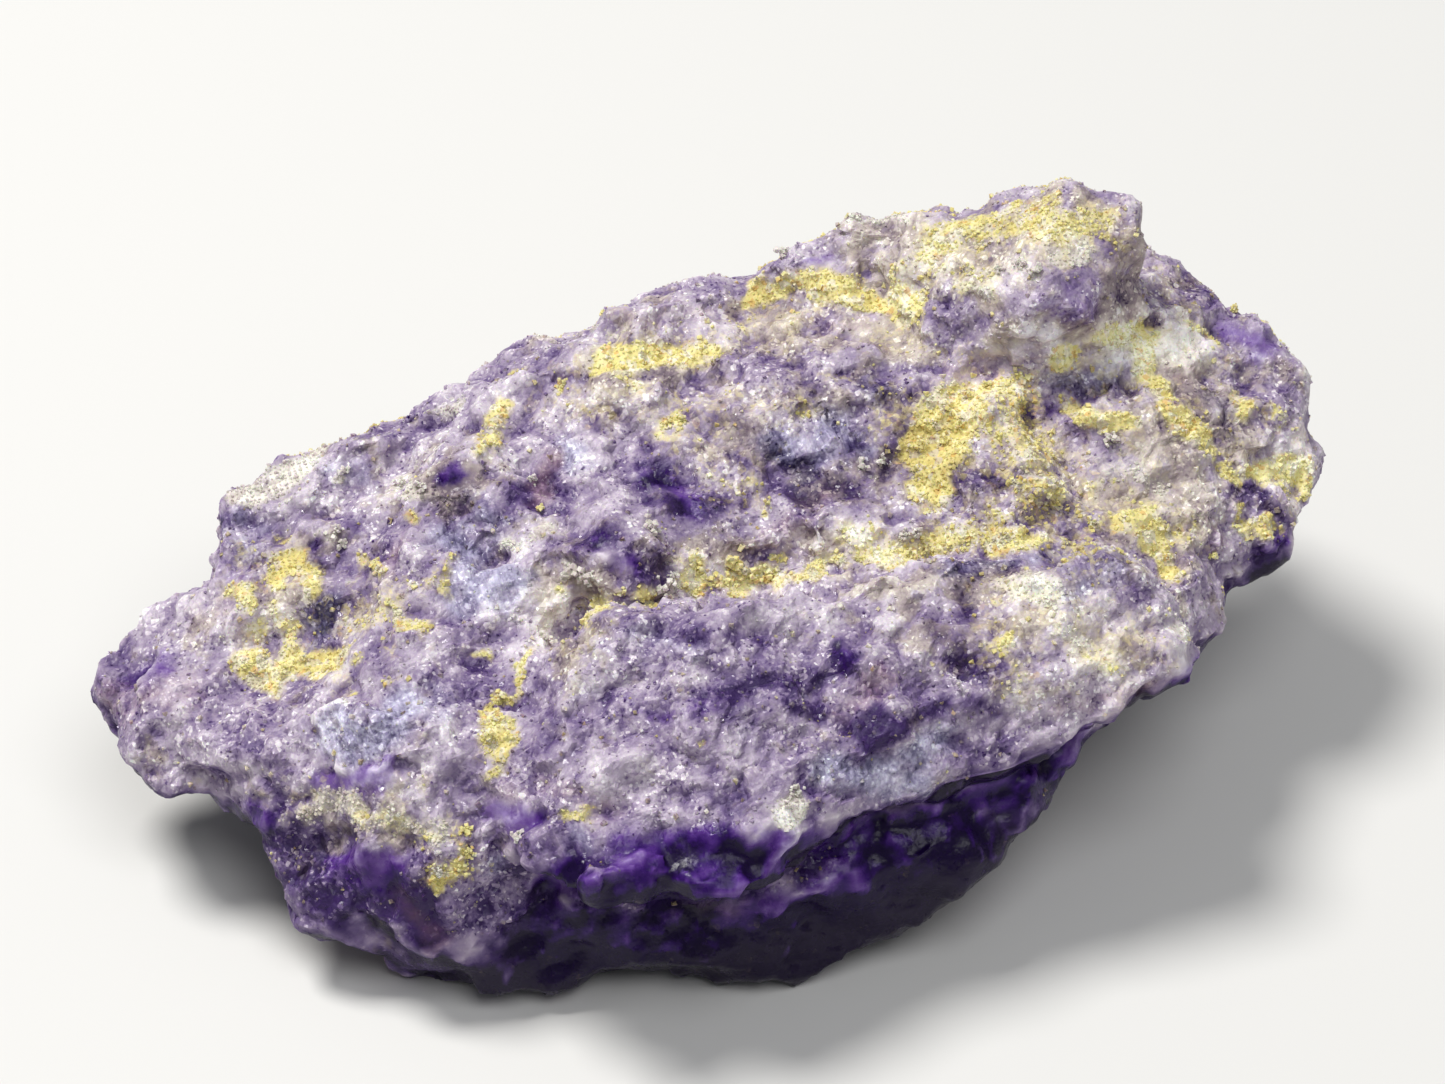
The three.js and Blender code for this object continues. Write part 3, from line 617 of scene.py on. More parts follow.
class Skin:
    """An even mesh over the lump, with its points in mm."""

    def __init__(self, piece):
        self.piece = piece
        mesh = piece.data
        count = len(mesh.vertices)
        flat = np.empty(count * 3, dtype=np.float32)
        mesh.vertices.foreach_get("co", flat)
        self.points = flat.reshape(-1, 3).astype(float) / MM
        pairs = np.empty(len(mesh.edges) * 2, dtype=np.int32)
        mesh.edges.foreach_get("vertices", pairs)
        self.pairs = pairs.reshape(-1, 2)
        self.links = np.bincount(pairs, minlength=count)

    def spread(self, values):
        """Each vertex's mean over its neighbours."""
        a, b = self.pairs.T
        count = len(values)
        total = np.bincount(a, values[b], count) + np.bincount(b, values[a], count)
        return total / self.links

    def smoothed(self, values, passes):
        """Points or normals, each moved half way to its neighbours' mean in every pass."""
        for _ in range(passes):
            near = np.stack([self.spread(values[:, n]) for n in range(3)], axis=1)
            values = 0.5 * values + 0.5 * near
        return values

    def softening(self, passes):
        """The way from each point to its smoothed place."""
        return self.smoothed(self.points, passes) - self.points

    def shift(self, weights, ways):
        """Moves each point along its way, by its weight."""
        self.points = self.points + weights[:, None] * ways

    def write(self):
        mesh = self.piece.data
        mesh.vertices.foreach_set("co", (self.points * MM).astype(np.float32).ravel())
        mesh.update()

    def normals(self):
        self.write()
        flat = np.empty(len(self.points) * 3, dtype=np.float32)
        self.piece.data.vertex_normals.foreach_get("vector", flat)
        return flat.reshape(-1, 3).astype(float)

    def surface(self):
        return BVHTree.FromPolygons(
            [Vector(p) for p in self.points],
            [tuple(f.vertices) for f in self.piece.data.polygons])

    def shade_smooth(self, chosen):
        """Shades the faces whose corners are all chosen as one smooth surface."""
        mesh = self.piece.data
        corners = np.empty(len(mesh.loops), dtype=np.int32)
        mesh.loops.foreach_get("vertex_index", corners)
        starts = np.empty(len(mesh.polygons), dtype=np.int32)
        mesh.polygons.foreach_get("loop_start", starts)
        mesh.polygons.foreach_set("use_smooth", np.logical_and.reduceat(chosen[corners], starts))


def solid_copy(node, name):
    """A copy of a node's solid with its corners joined."""
    joined = bmesh.new()
    joined.from_mesh(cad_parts[node].data)
    bmesh.ops.remove_doubles(joined, verts=joined.verts, dist=1e-7)
    mesh = bpy.data.meshes.new(name)
    joined.to_mesh(mesh)
    joined.free()
    return add_object(name, mesh)


def even_skin(piece):
    """Gives a piece an even mesh without folds, and returns it as a skin."""
    grid = piece.modifiers.new("grid", "REMESH")
    grid.mode = "VOXEL"
    grid.voxel_size = SKIN_GRID * MM
    shown = piece.evaluated_get(bpy.context.evaluated_depsgraph_get())
    piece.data = bpy.data.meshes.new_from_object(shown)
    piece.modifiers.clear()
    piece.data.materials.clear()
    return Skin(piece)


def raise_relief(skin):
    """Raises and sinks the skin by the strokes, and fills the grooves."""
    skin.points = skin.smoothed(skin.points, FIRST_SMOOTHING)
    surface = skin.surface()
    height = strokes_on(skin.points, RELIEF, surface, np.add)
    height += SWELL_HEIGHT * (rough_waves(skin.points, SWELL_LENGTH, SWELL_CHANNEL) - 0.5)
    skin.shift(height, skin.normals())
    lip = strokes_on(skin.points, LIP, surface, np.maximum)
    for _ in range(LIP_ROUNDS):
        ways = skin.softening(LIP_PASSES)
        outward = dots(ways, skin.normals()) > 0
        skin.shift(lip * np.where(outward, 1.0, LIP_WEAR), ways)
    skin.write()


def underside(skin, normals):
    """How far each place belongs to the lump's underside, from 0 to 1."""
    lowness = smoothstep(LOW + UNDER_FADE, LOW, skin.points[:, 2])
    return smoothstep(*UNDER_FACING, normals[:, 2]) * lowness


def cut_facets(skin, width, lean, most, channel):
    """Flattens the skin to leaning planes, one for each scattered seed: crystal faces."""
    normals = skin.normals()
    owner = nearest_seeds(skin.points, width, channel)[0]
    cells, index = np.unique(owner, axis=0, return_inverse=True)
    index = index.ravel()
    members = np.bincount(index)
    middle = np.stack([np.bincount(index, skin.points[:, n]) for n in range(3)], axis=1)
    middle /= members[:, None]
    facing = np.stack([np.bincount(index, normals[:, n]) for n in range(3)], axis=1)
    facing /= np.linalg.norm(facing, axis=1, keepdims=True)
    tilt = np.stack([hashed(cells, channel + LEAN_STEP + n) for n in range(3)], axis=1) - 0.5
    facing += 2 * lean * tilt
    facing /= np.linalg.norm(facing, axis=1, keepdims=True)
    rise = dots(middle[index] - skin.points, facing[index])
    slope = dots(normals, facing[index])
    move = np.clip(rise / np.maximum(slope, LEAST_SLOPE), -most, most)
    move *= smoothstep(*SLOPE_FADE, slope)
    move *= np.minimum(members / (SMALL_CELL * np.median(members)), 1)[index]
    skin.shift(move, normals)
    return hashed(cells, channel + FACE_STEP)[index]


def crease_depths(skin):
    """How deep the creases between crystals are at each place."""
    depths = np.zeros(len(skin.points))
    for n, (width, depth, share) in enumerate(CREASES):
        _, near, after = nearest_seeds(skin.points, width, CREASE_CHANNEL + n)
        patches = waves(skin.points, CREASE_PATCH * width, OPEN_CHANNEL + n)
        opened = smoothstep(CREASE_OPEN[0] - share, CREASE_OPEN[1] - share, patches)
        depths += depth * opened * (1 - smoothstep(0.0, CREASE_EDGE, after - near))
    return depths * (1 - CALM_CREASE_LOSS * skin.calm)


def unfold(skin, upright):
    """Softens the places where the skin has turned over."""
    for _ in range(UNFOLD_ROUNDS):
        folded = (dots(skin.normals(), upright) < FOLDED).astype(float)
        for _ in range(UNFOLD_REACH):
            folded = np.minimum(UNFOLD_GAIN * skin.spread(folded) + folded, 1)
        skin.shift(folded, skin.softening(UNFOLD_PASSES))


def break_skin(skin):
    """Breaks the skin up into crystal faces."""
    surface = skin.surface()
    clear = strokes_on(skin.points, HUES["glass"], surface, np.maximum)
    below = strokes_on(skin.points, CALM, surface, np.maximum)
    skin.calm = np.clip(smoothstep(*CLEAR_GLASS, clear) + smoothstep(*CLEAR_BELOW, below)
                        + underside(skin, skin.normals()), 0, 1)
    worn = strokes_on(skin.points, WORN, surface, np.maximum)
    crust = (1 - CALM_FACE_LOSS * skin.calm) * (1 - WORN_FACE_LOSS * worn)
    skin.shift(np.maximum(skin.calm, worn), skin.softening(CALM_PASSES))
    upright = skin.normals()
    faces = []
    for n, (width, lean, most, passes) in enumerate(FACETS):
        before = skin.points
        faces.append(cut_facets(skin, width, lean, most, FACET_CHANNEL * (n + 1)))
        if width < CALM_FACET:
            skin.points = before + crust[:, None] * (skin.points - before)
        skin.points = skin.smoothed(skin.points, passes)
    skin.gaps = crease_depths(skin)
    skin.shift(-skin.gaps, skin.normals())
    unfold(skin, upright)
    skin.points[:, 2] = np.maximum(skin.points[:, 2], 0)
    keep(skin.piece, "face", FACE_SHARES[0] * faces[0] + FACE_SHARES[1] * faces[1])
    keep(skin.piece, "small_face", faces[2])


def warped(points):
    """The points moved about by waves."""
    moved = points.copy()
    for length, shift in PATCH_WARP:
        for axis in range(3):
            moved[:, axis] += shift * 2 * (waves(points, length, WARP_CHANNEL + axis) - 0.5)
    return moved


def skin_tone(skin, normals, seen, strokes):
    """How light each place is, painted shade and painted highlights included."""
    # painted shade in hollows, in creases and on the underside, and painted highlights on ridges
    ways = skin.softening(HOLLOW_PASSES)
    hollow = np.clip(dots(ways, normals) / HOLLOW_DEPTH, -1, 1)
    ridge = dots(-skin.softening(RIDGE_PASSES), normals)
    ridge = np.clip(ridge / (2 * ridge.std()), -1, 1)
    under = underside(skin, skin.smoothed(normals, UNDER_SHADE_PASSES))
    tone = TONE_REST + UNDER_SHADE * under + HOLLOW_SHADE * np.maximum(hollow, 0)
    tone += CREASE_SHADE * skin.gaps
    tone += RIDGE_HIGHLIGHT * ridge + CLEAR_RIDGE_HIGHLIGHT * skin.calm * np.maximum(ridge, 0)
    tone += seen * TONE_STROKES * strokes
    for n, (length, strength) in enumerate(TONE_WAVES):
        tone += strength * 2 * (waves(skin.points, length, TONE_CHANNEL + n) - 0.5)
    return tone


def hidden_patches(skin, hue, channel):
    """Patches of a hue for the places that the photograph doesn't show."""
    length, share = HIDDEN_SPREAD[hue]
    spread = rough_waves(skin.points, length, channel)
    limit = np.quantile(spread, 1 - share)
    return smoothstep(limit + HIDDEN_EDGE[0], limit + HIDDEN_EDGE[1], spread)


def colour_skin(skin):
    """Works out how light each place is and which hue it has."""
    surface = skin.surface()
    normals = skin.normals()
    skin.facing_up = smoothstep(*FACING_UP, skin.smoothed(normals, FACING_UP_PASSES)[:, 2])
    seen = smoothstep(*SEEN, normals @ np.array(camera_axes()[2]))
    places = warped(skin.points)
    tone = skin_tone(skin, normals, seen, strokes_on(places, TONE, surface, np.add))
    fields = {"tone": tone, "calm": skin.calm}
    for n, (hue, strokes) in enumerate(HUES.items()):
        shown = strokes_on(places, strokes, surface, np.maximum)
        hidden = hidden_patches(skin, hue, HUE_CHANNEL + HUE_STEP * n)
        fields[hue] = seen * shown + (1 - seen) * hidden
        if hue in SETTLING:
            fields[hue] *= skin.facing_up
    for name, values in fields.items():
        keep(skin.piece, name, values)
    return fields


# ============ loose grains

def turned(rng, count):
    """Random turns, as matrices."""
    q = rng.normal(size=(count, 4))
    q /= np.linalg.norm(q, axis=1, keepdims=True)
    w, x, y, z = q.T
    return np.stack([
        np.stack([1 - 2 * (y * y + z * z), 2 * (x * y - w * z), 2 * (x * z + w * y)], axis=1),
        np.stack([2 * (x * y + w * z), 1 - 2 * (x * x + z * z), 2 * (y * z - w * x)], axis=1),
        np.stack([2 * (x * z - w * y), 2 * (y * z + w * x), 1 - 2 * (x * x + y * y)], axis=1),
    ], axis=1)


def mesh_piece(name, points, faces):
    mesh = bpy.data.meshes.new(name)
    mesh.from_pydata((points * MM).tolist(), [], faces)
    mesh.update()
    return add_object(name, mesh)


def chip_piece(name, rng, middles, sizes, fields):
    """Small angular chips joined in one piece, with one value of each field for each chip."""
    count = len(sizes)
    corners = np.array(GRAIN_CORNERS) * (1 + rng.uniform(*CORNER_SHIFT, (count, 8, 3)))
    corners *= sizes[:, None, None] * rng.uniform(*HALF_SIDES, (count, 1, 3))
    corners = np.einsum("nij,nkj->nki", turned(rng, count), corners)
    points = (middles[:, None] + corners).reshape(-1, 3)
    points[:, 2] = np.maximum(points[:, 2], 0)
    faces = [tuple(8 * n + corner for corner in face) for n in range(count) for face in GRAIN_FACES]
    piece = mesh_piece(name, points, faces)
    for field, values in fields.items():
        keep(piece, field, np.repeat(values, 8))
    # each chip has a small square of its own on the map that colours are baked to
    side = math.ceil(math.sqrt(count))
    squares = np.stack([np.arange(count) % side, np.arange(count) // side], axis=1)
    spots = squares[:, None, None] + np.tile(CHIP_SQUARE, (len(GRAIN_FACES), 1, 1))
    layer = piece.data.uv_layers.new(name="OFBake")
    layer.uv.foreach_set("vector", (spots / side).astype(np.float32).ravel())
    return piece


def scatter(name, skin, fields, weight, count, smallest, largest, seed):
    """Chips on the skin, thickest where the weight is largest."""
    rng = np.random.default_rng(seed)
    picked = rng.choice(len(weight), count, replace=False, p=weight / weight.sum())
    sizes = smallest + (largest - smallest) * rng.random(count) ** 2
    middles = skin.points[picked] + skin.normals()[picked] * (sizes * (0.5 - GRAIN_SINK))[:, None]
    own = {field: values[picked] for field, values in fields.items()}
    own["tone"] += GRAIN_TONES * 2 * (rng.random(count) - 0.5)
    return chip_piece(name, rng, middles, sizes, own)


def scattered_pieces(skin, fields):
    """The pieces of small grains."""
    for seed, (name, hue, count, smallest, largest, least) in enumerate(SCATTERED):
        own = dict(fields)
        if hue:
            weight = np.maximum(fields[hue] - least, 0.0) + STRAY_SHARE * (1 - skin.calm)
            own[hue] = fields[hue] + GRAIN_HUE
        else:
            weight = np.clip(1 - fields["copiapite"] - skin.calm, 0, 1)
        weight *= skin.facing_up
        yield scatter(name, skin, own, weight, count, smallest, largest, seed)


def placed_piece(surface):
    """The larger crystals, each a clump of chips."""
    rng = np.random.default_rng(PLACED_SEED)
    middles, sizes, gold, tones = [], [], [], []
    for hue, crystals in PLACED.items():
        for place, diameter in crystals:
            middle, normal = spot(pixel(place), surface)
            if middle is None:
                continue
            for _ in range(PLACED_CHIPS):
                size = diameter * rng.uniform(*PLACED_SIZES)
                shift = rng.normal(size=3) * PLACED_SPREAD * diameter
                lift = np.array(normal) * PLACED_LIFT * diameter
                middles.append(np.array(middle) + shift + lift)
                sizes.append(size)
                gold.append(hue == "copiapite")
                tones.append(rng.uniform(*PLACED_TONES))
    gold = np.array(gold, dtype=float)
    fields = {"tone": np.array(tones), "copiapite": PLACED_HUE * gold,
              "cream": PLACED_HUE * (1 - gold)}
    return chip_piece("placed_crystals", rng, np.array(middles), np.array(sizes), fields)


# ============ node helper

class Graph:
    """Short calls for the nodes of one material."""

    def __init__(self, name):
        self.material = bpy.data.materials.new(name)
        self.material.use_nodes = True
        self.tree = self.material.node_tree
        self.shader = self.tree.nodes["Principled BSDF"]
        self.place = self.add("ShaderNodeTexCoord").outputs["Object"]

    def add(self, kind, settings=None, **inputs):
        node = self.tree.nodes.new(kind)
        for key, value in (settings or {}).items():
            setattr(node, key, value)
        for key, value in inputs.items():
            self.feed(node.inputs[key.replace("_", " ")], value)
        return node

    def feed(self, socket, value):
        if isinstance(value, bpy.types.NodeSocket):
            self.tree.links.new(value, socket)
        else:
            socket.default_value = value

    def attribute(self, name):
        return self.add("ShaderNodeAttribute", {"attribute_name": name}).outputs["Fac"]

    def noise(self, width, detail=2.0, roughness=0.5):
        node = self.add("ShaderNodeTexNoise", Vector=self.place,
                        Scale=1 / (width * MM), Detail=detail, Roughness=roughness)
        return node.outputs["Fac"]

    def cells(self, width):
        return self.add("ShaderNodeTexVoronoi", Vector=self.place, Scale=1 / (width * MM))

    def number(self, operation, a, b=0.0, c=0.0):
        node = self.add("ShaderNodeMath", {"operation": operation})
        for socket, value in zip(node.inputs, (a, b, c)):
            self.feed(socket, value)
        return node.outputs[0]

    def product(self, a, b):
        return self.number("MULTIPLY", a, b)

    def scaled_sum(self, a, scale, b):
        """a, times a scale, plus b."""
        return self.number("MULTIPLY_ADD", a, scale, b)

    def total(self, first, *parts):
        """first, plus each (value, strength) of the rest, a value from 0 to 1 counting from 0.5."""
        for value, strength in parts:
            offset = self.scaled_sum(value, strength, -0.5 * strength)
            first = self.number("ADD", first, offset)
        return first

    def vector(self, operation, a, b=(0, 0, 0)):
        node = self.add("ShaderNodeVectorMath", {"operation": operation})
        self.feed(node.inputs[0], a)
        self.feed(node.inputs[1], b)
        return node.outputs[0]

    def scaled(self, a, scale):
        node = self.add("ShaderNodeVectorMath", {"operation": "SCALE"})
        self.feed(node.inputs[0], a)
        self.feed(node.inputs["Scale"], scale)
        return node.outputs[0]

    def step(self, value, low, high, bottom=0.0, top=1.0):
        node = self.add("ShaderNodeMapRange", {"interpolation_type": "SMOOTHSTEP"})
        for socket, given in zip(node.inputs, (value, low, high, bottom, top)):
            self.feed(socket, given)
        return node.outputs[0]

    def channels(self, colour):
        return self.add("ShaderNodeSeparateColor", Color=colour).outputs

    def blend(self, share, a, b):
        node = self.add("ShaderNodeMix", {"data_type": "RGBA"})
        self.feed(node.inputs["Factor"], share)
        self.feed(node.inputs[6], a)
        self.feed(node.inputs[7], b)
        return node.outputs[2]

    def ramp(self, value, colours):
        """A colour for each value from 0 to 1, through evenly spaced colours."""
        node = self.add("ShaderNodeValToRGB", Fac=value)
        stops = node.color_ramp.elements
        stops.remove(stops[1])
        for n, colour in enumerate(colours):
            stop = stops[0] if n == 0 else stops.new(n / (len(colours) - 1))
            stop.position = n / (len(colours) - 1)
            stop.color = paint(*colour)
        return node.outputs["Color"]


def paint(red, green, blue):
    """A colour given as it looks on a screen, 0 to 255, as the shader takes it."""
    def linear(value):
        share = value / 255
        return share / 12.92 if share <= 0.04045 else ((share + 0.055) / 1.055) ** 2.4
    return (linear(red), linear(green), linear(blue), 1.0)


# ============ materials

# Each ramp runs from its darkest tone to its lightest.
RAMPS = {
    "mauve": [(16, 8, 32), (62, 42, 92), (110, 92, 132), (152, 137, 162), (189, 177, 192),
              (222, 214, 220), (246, 242, 243)],
    "warm": [(20, 14, 24), (68, 52, 78), (120, 106, 112), (156, 142, 140), (188, 176, 166),
             (221, 213, 200), (247, 243, 234)],
    # blue-grey crystal, whose pale end also serves as painted sheen
    "slate_and_sheen": [(18, 14, 36), (54, 48, 84), (98, 96, 124), (136, 132, 163), (172, 169, 197),
              (206, 205, 226), (240, 241, 251)],
    "rose": [(40, 24, 40), (92, 66, 90), (136, 108, 128), (170, 146, 156), (202, 182, 188),
             (228, 214, 215), (246, 240, 238)],
    "glass": [(14, 2, 38), (48, 16, 94), (82, 44, 128), (112, 82, 150), (150, 130, 180),
              (196, 184, 212), (240, 236, 246)],
    "cream": [(88, 78, 86), (134, 122, 124), (176, 164, 160), (206, 196, 188), (226, 219, 210),
              (240, 235, 228), (250, 248, 244)],
    "yellow": [(130, 110, 78), (170, 150, 98), (200, 181, 114), (222, 206, 130), (234, 221, 150),
               (243, 234, 180), (249, 245, 220)],
}

# Widths of the crust's grains. Each noise below is its width, detail and roughness.
GRAIN_WIDTHS = (0.42, 0.24, 0.13)
CLOUDS = (0.9, 3.5, 0.6)
TEARS = (1.3, 4.0, 0.7)
GRAINED_PATCHES = (2.8, 2.0, 0.5)
WARM_PATCHES = (2.2, 4.0, 0.65)
ROUGHENING = (0.25, 2.0, 0.6)
CLEAR_LOSS = 0.85  # share of the crust that clear crystal lacks

# How a hue covers the skin: the field where it begins and where it is full, the most it covers,
# and how much tears, clouds and grains break its edge.
CRYSTAL_EDGE = (1.6, 0.5, 0.5)
COVER = {
    "slate_and_sheen": (0.15, 0.95, 0.80, *CRYSTAL_EDGE),
    "rose": (0.20, 0.90, 0.80, *CRYSTAL_EDGE),
    "glass": (0.20, 0.80, 0.95, *CRYSTAL_EDGE),
    "cream": (0.20, 0.80, 0.95, *CRYSTAL_EDGE),
    "copiapite": (0.14, 0.85, 0.95, 1.0, 0.4, 1.0),
}
EDGE_GRAINS = (0.22, 0.18, 0.08)  # how much each width of grain breaks a hue's edge
WARM_FROM, WARM_TO, WARM_MOST = 0.48, 0.62, 0.85
WARM_STROKES, WARM_GRAINS = 0.22, 0.06

# What lightens and darkens the skin: strengths of the things that add to its tone.
CLOUD_TONE, FACE_TONE, SMALL_FACE_TONE = 0.30, 0.15, 0.10
GRAIN_TONE = (0.12, 0.16, 0.14)
FLECK_TONES = (0.30, 0.35)  # of the middle and the fine grains that are white flecks
GAP_TONE = 0.22  # what the dark gaps between fine grains take off
LEAST_CRUST_TONE = 0.15
FIBRE_TONE, FIBRE_WIDTH, FIBRE_LENGTH = 0.7, 0.16, 1.5
FIBRE_TURN = (0.5, 0.3, 0.9)
CREAM_LIFT = 0.12
POWDER_TONE = (0.7, 0.28)  # the powder's tone: this share of the skin's, and this
PALE_POWDER, ORANGE_POWDER = 0.6, 0.6
ORANGE = (214, 164, 84)

SPARKLING = (0.79, 0.83)  # which middle grains tip and catch the light
SPARKLE_TIP, CRUST_TIP = 0.8, 0.12
# Clear crystal has the first of these, and the others are added to it.
CLEAR_ROUGHNESS, CRUST_ROUGHNESS, POWDER_ROUGHNESS, SPARKLE_ROUGHNESS = 0.30, 0.14, 0.30, -0.32
CLEAR_BUMP, CRUST_BUMP = 0.22, 0.33
BUMP_DEPTH, GRAIN_RELIEF = 0.10, -0.5
CRYSTAL_IOR = 1.30
SCATTERING, SCATTERING_DEPTH, SCATTERING_RADIUS = 0.5, 0.3, (1.0, 0.7, 1.3)


class Coquimbite(Graph):
    """The one material of all pieces: violet crystal, crusted, with dust on it."""

    def __init__(self):
        super().__init__("coquimbite_dusted")
        self.grains = [self.cells(width) for width in GRAIN_WIDTHS]
        self.coarse, self.medium, self.fine = (
            self.channels(grain.outputs["Color"]) for grain in self.grains)
        self.crust = self.number(
            "SUBTRACT", 1.0, self.product(self.attribute("calm"), CLEAR_LOSS))
        self.cloud = self.noise(*CLOUDS)
        self.torn = self.number("SUBTRACT", self.noise(*TEARS), 0.5)
        self.yellow = self.cover("copiapite")
        self.feed(self.shader.inputs["Base Color"], self.colour(self.tone()))
        self.set_surface()

    def cover(self, hue):
        """How much of the skin a hue covers, with a ragged edge."""
        low, high, most, tear, clouding, grain = COVER[hue]
        field = self.attribute(hue)
        field = self.scaled_sum(self.product(self.torn, tear), field, field)
        field = self.total(field, (self.cloud, clouding),
                           (self.coarse[1], EDGE_GRAINS[0] * grain),
                           (self.medium[2], EDGE_GRAINS[1] * grain),
                           (self.fine[2], EDGE_GRAINS[2] * grain))
        return self.step(field, low, high, 0.0, most)

    def tone(self):
        """How light the skin is: clear crystal is calm and cloudy, crust is grained."""
        speckle = self.total(0.0, (self.coarse[0], GRAIN_TONE[0]), (self.medium[0], GRAIN_TONE[1]),
                             (self.fine[0], GRAIN_TONE[2]))
        for grain, low, high, tone in ((self.medium[1], 0.93, 0.97, FLECK_TONES[0]),
                                       (self.fine[1], 0.93, 0.96, FLECK_TONES[1])):
            speckle = self.number("ADD", speckle, self.step(grain, low, high, 0.0, tone))
        gaps = self.step(self.fine[1], 0.0, 0.10, GAP_TONE, 0.0)
        speckle = self.number("SUBTRACT", speckle, gaps)
        grained = self.step(self.noise(*GRAINED_PATCHES), 0.40, 0.60, 0.35, 0.85)
        smoother = self.scaled_sum(self.attribute("cream"), -0.5, 1)
        grained = self.product(self.product(grained, smoother), self.crust)
        tone = self.total(self.attribute("tone"), (self.cloud, CLOUD_TONE),
                          (self.attribute("face"), FACE_TONE),
                          (self.attribute("small_face"), SMALL_FACE_TONE))
        tone = self.scaled_sum(speckle, grained, tone)
        least = self.product(self.crust, LEAST_CRUST_TONE)
        tone = self.number("MAXIMUM", tone, least)
        return self.scaled_sum(self.fibres(), FIBRE_TONE, tone)

    def fibres(self):
        """Streaks, from -0.5 to 0.5, of the blue-grey crystal, which also bears painted sheen."""
        across, along = 1 / (FIBRE_WIDTH * MM), 1 / (FIBRE_LENGTH * MM)
        lie = self.add("ShaderNodeMapping", Vector=self.place, Rotation=FIBRE_TURN,
                       Scale=(across, along, across))
        streaks = self.add("ShaderNodeTexNoise", Vector=lie.outputs[0], Scale=1.0, Detail=2.0)
        streaks = self.number("SUBTRACT", streaks.outputs["Fac"], 0.5)
        return self.product(self.attribute("slate_and_sheen"), streaks)

    def colour(self, tone):
        """The hues laid over each other, the powder last."""
        warm = self.total(self.noise(*WARM_PATCHES), (self.attribute("warm"), WARM_STROKES),
                          (self.coarse[2], WARM_GRAINS))
        warm = self.step(warm, WARM_FROM, WARM_TO, 0.0, WARM_MOST)
        colour = self.blend(warm, self.ramp(tone, RAMPS["mauve"]), self.ramp(tone, RAMPS["warm"]))
        # the first of these hues is blue-grey crystal together with painted sheen
        for hue in ("slate_and_sheen", "rose", "glass"):
            colour = self.blend(self.cover(hue), colour, self.ramp(tone, RAMPS[hue]))
        pale_tone = self.number("ADD", tone, CREAM_LIFT)
        colour = self.blend(self.cover("cream"), colour, self.ramp(pale_tone, RAMPS["cream"]))
        powder_tone = self.scaled_sum(tone, *POWDER_TONE)
        powder = self.blend(self.step(self.coarse[0], 0.70, 0.80, 0.0, PALE_POWDER),
                            self.ramp(powder_tone, RAMPS["yellow"]),
                            self.ramp(powder_tone, RAMPS["cream"]))
        powder = self.blend(self.step(self.medium[0], 0.93, 0.96, 0.0, ORANGE_POWDER),
                            powder, paint(*ORANGE))
        return self.blend(self.yellow, colour, powder)

    def set_surface(self):
        """Grain relief, tiny faces that catch the light, roughness and scattering."""
        dusty = self.product(self.crust, self.number("SUBTRACT", 1.0, self.yellow))
        bright = self.product(self.step(self.medium[2], *SPARKLING), dusty)
        medium = self.grains[1].outputs
        tip = self.scaled(self.vector("SUBTRACT", medium["Color"], (0.5, 0.5, 0.5)),
                          self.scaled_sum(bright, SPARKLE_TIP,
                                      self.product(self.crust, CRUST_TIP)))
        height = self.number("ADD", self.product(medium["Distance"], GRAIN_RELIEF),
                             self.noise(*ROUGHENING))
        strength = self.scaled_sum(self.crust, CRUST_BUMP, CLEAR_BUMP)
        bump = self.add("ShaderNodeBump", Strength=strength, Distance=BUMP_DEPTH * MM,
                        Height=height)
        facing = self.vector("ADD", bump.outputs["Normal"], tip)
        sockets = self.shader.inputs
        self.feed(sockets["Normal"], self.vector("NORMALIZE", facing))
        rough = self.scaled_sum(self.crust, CRUST_ROUGHNESS, CLEAR_ROUGHNESS)
        rough = self.scaled_sum(self.yellow, POWDER_ROUGHNESS, rough)
        rough = self.scaled_sum(bright, SPARKLE_ROUGHNESS, rough)
        self.feed(sockets["Roughness"], rough)
        sockets["IOR"].default_value = CRYSTAL_IOR
        sockets["Subsurface Weight"].default_value = SCATTERING
        sockets["Subsurface Radius"].default_value = SCATTERING_RADIUS
        sockets["Subsurface Scale"].default_value = SCATTERING_DEPTH * MM


# ============ stage

FLOOR_HALF = 1500
FLOOR_COLOUR = paint(218, 217, 214)
FLOOR_ROUGHNESS = 0.8

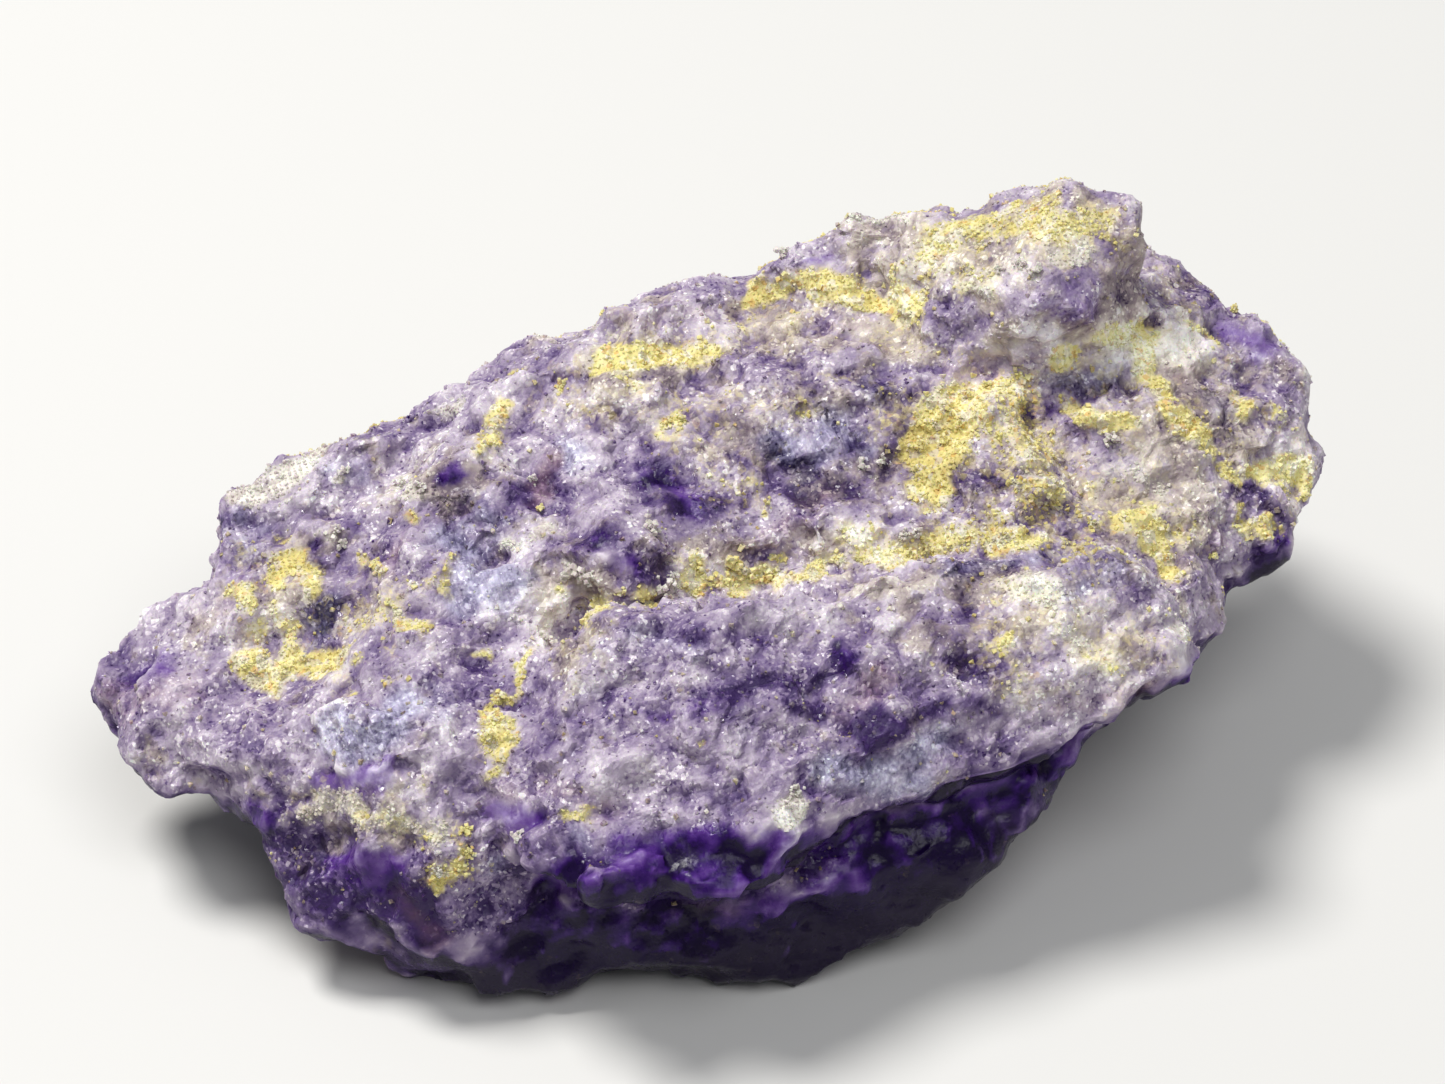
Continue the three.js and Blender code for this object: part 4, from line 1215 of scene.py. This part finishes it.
# Lamps by name: azimuth, elevation, distance and diameter in m, power in W, colour.
LAMPS = {
    "key": (-135, 64, 0.55, 0.20, 3.0, (1.0, 0.99, 0.97)),
    "fill": (10, 62, 0.60, 0.40, 1.5, (0.97, 0.98, 1.0)),
}
LAMPS_MIDDLE = (0, 0, 0.012)  # in m
SKY_COLOUR = (0.93, 0.96, 1.0, 1)
SKY_STRENGTH = 0.18


def make_floor():
    half = FLOOR_HALF
    corners = np.array([(-half, -half, 0), (half, -half, 0), (half, half, 0), (-half, half, 0)])
    floor = mesh_piece("floor", corners, [(0, 1, 2, 3)])
    g = Graph("floor_pale")
    g.shader.inputs["Base Color"].default_value = FLOOR_COLOUR
    g.shader.inputs["Roughness"].default_value = FLOOR_ROUGHNESS
    floor.data.materials.append(g.material)
    floor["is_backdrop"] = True


def make_lights():
    for name, (azimuth, elevation, distance, size, power, colour) in LAMPS.items():
        towards = direction(azimuth, elevation)
        data = bpy.data.lights.new(name, "AREA")
        data.shape = "DISK"
        data.size = size
        data.energy = power
        data.color = colour
        add_looking(name, data, towards * distance + Vector(LAMPS_MIDDLE), towards)
    world = bpy.data.worlds.new("studio")
    world.use_nodes = True
    sky = world.node_tree.nodes["Background"].inputs
    sky["Color"].default_value = SKY_COLOUR
    sky["Strength"].default_value = SKY_STRENGTH
    bpy.context.scene.world = world
    bpy.context.scene.view_settings.view_transform = "Standard"


# ============ the scene

def seat(piece, material):
    piece.data.materials.append(material)
    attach(piece, BODY)
    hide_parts(LUMP)


make_camera()
lump = solid_copy(LUMP, "coquimbite_lump")
raise_relief(even_skin(lump))
skin = even_skin(lump)
break_skin(skin)
fields = colour_skin(skin)
skin.shade_smooth(skin.calm > SMOOTH_SHADED)
dusted = Coquimbite().material
seat(lump, dusted)
for piece in scattered_pieces(skin, fields):
    seat(piece, dusted)
seat(placed_piece(skin.surface()), dusted)
make_floor()
make_lights()

boxes = {"cad": CAD_BOX, "visual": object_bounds()}
{name: [list(corner) for corner in box] for name, box in boxes.items()}
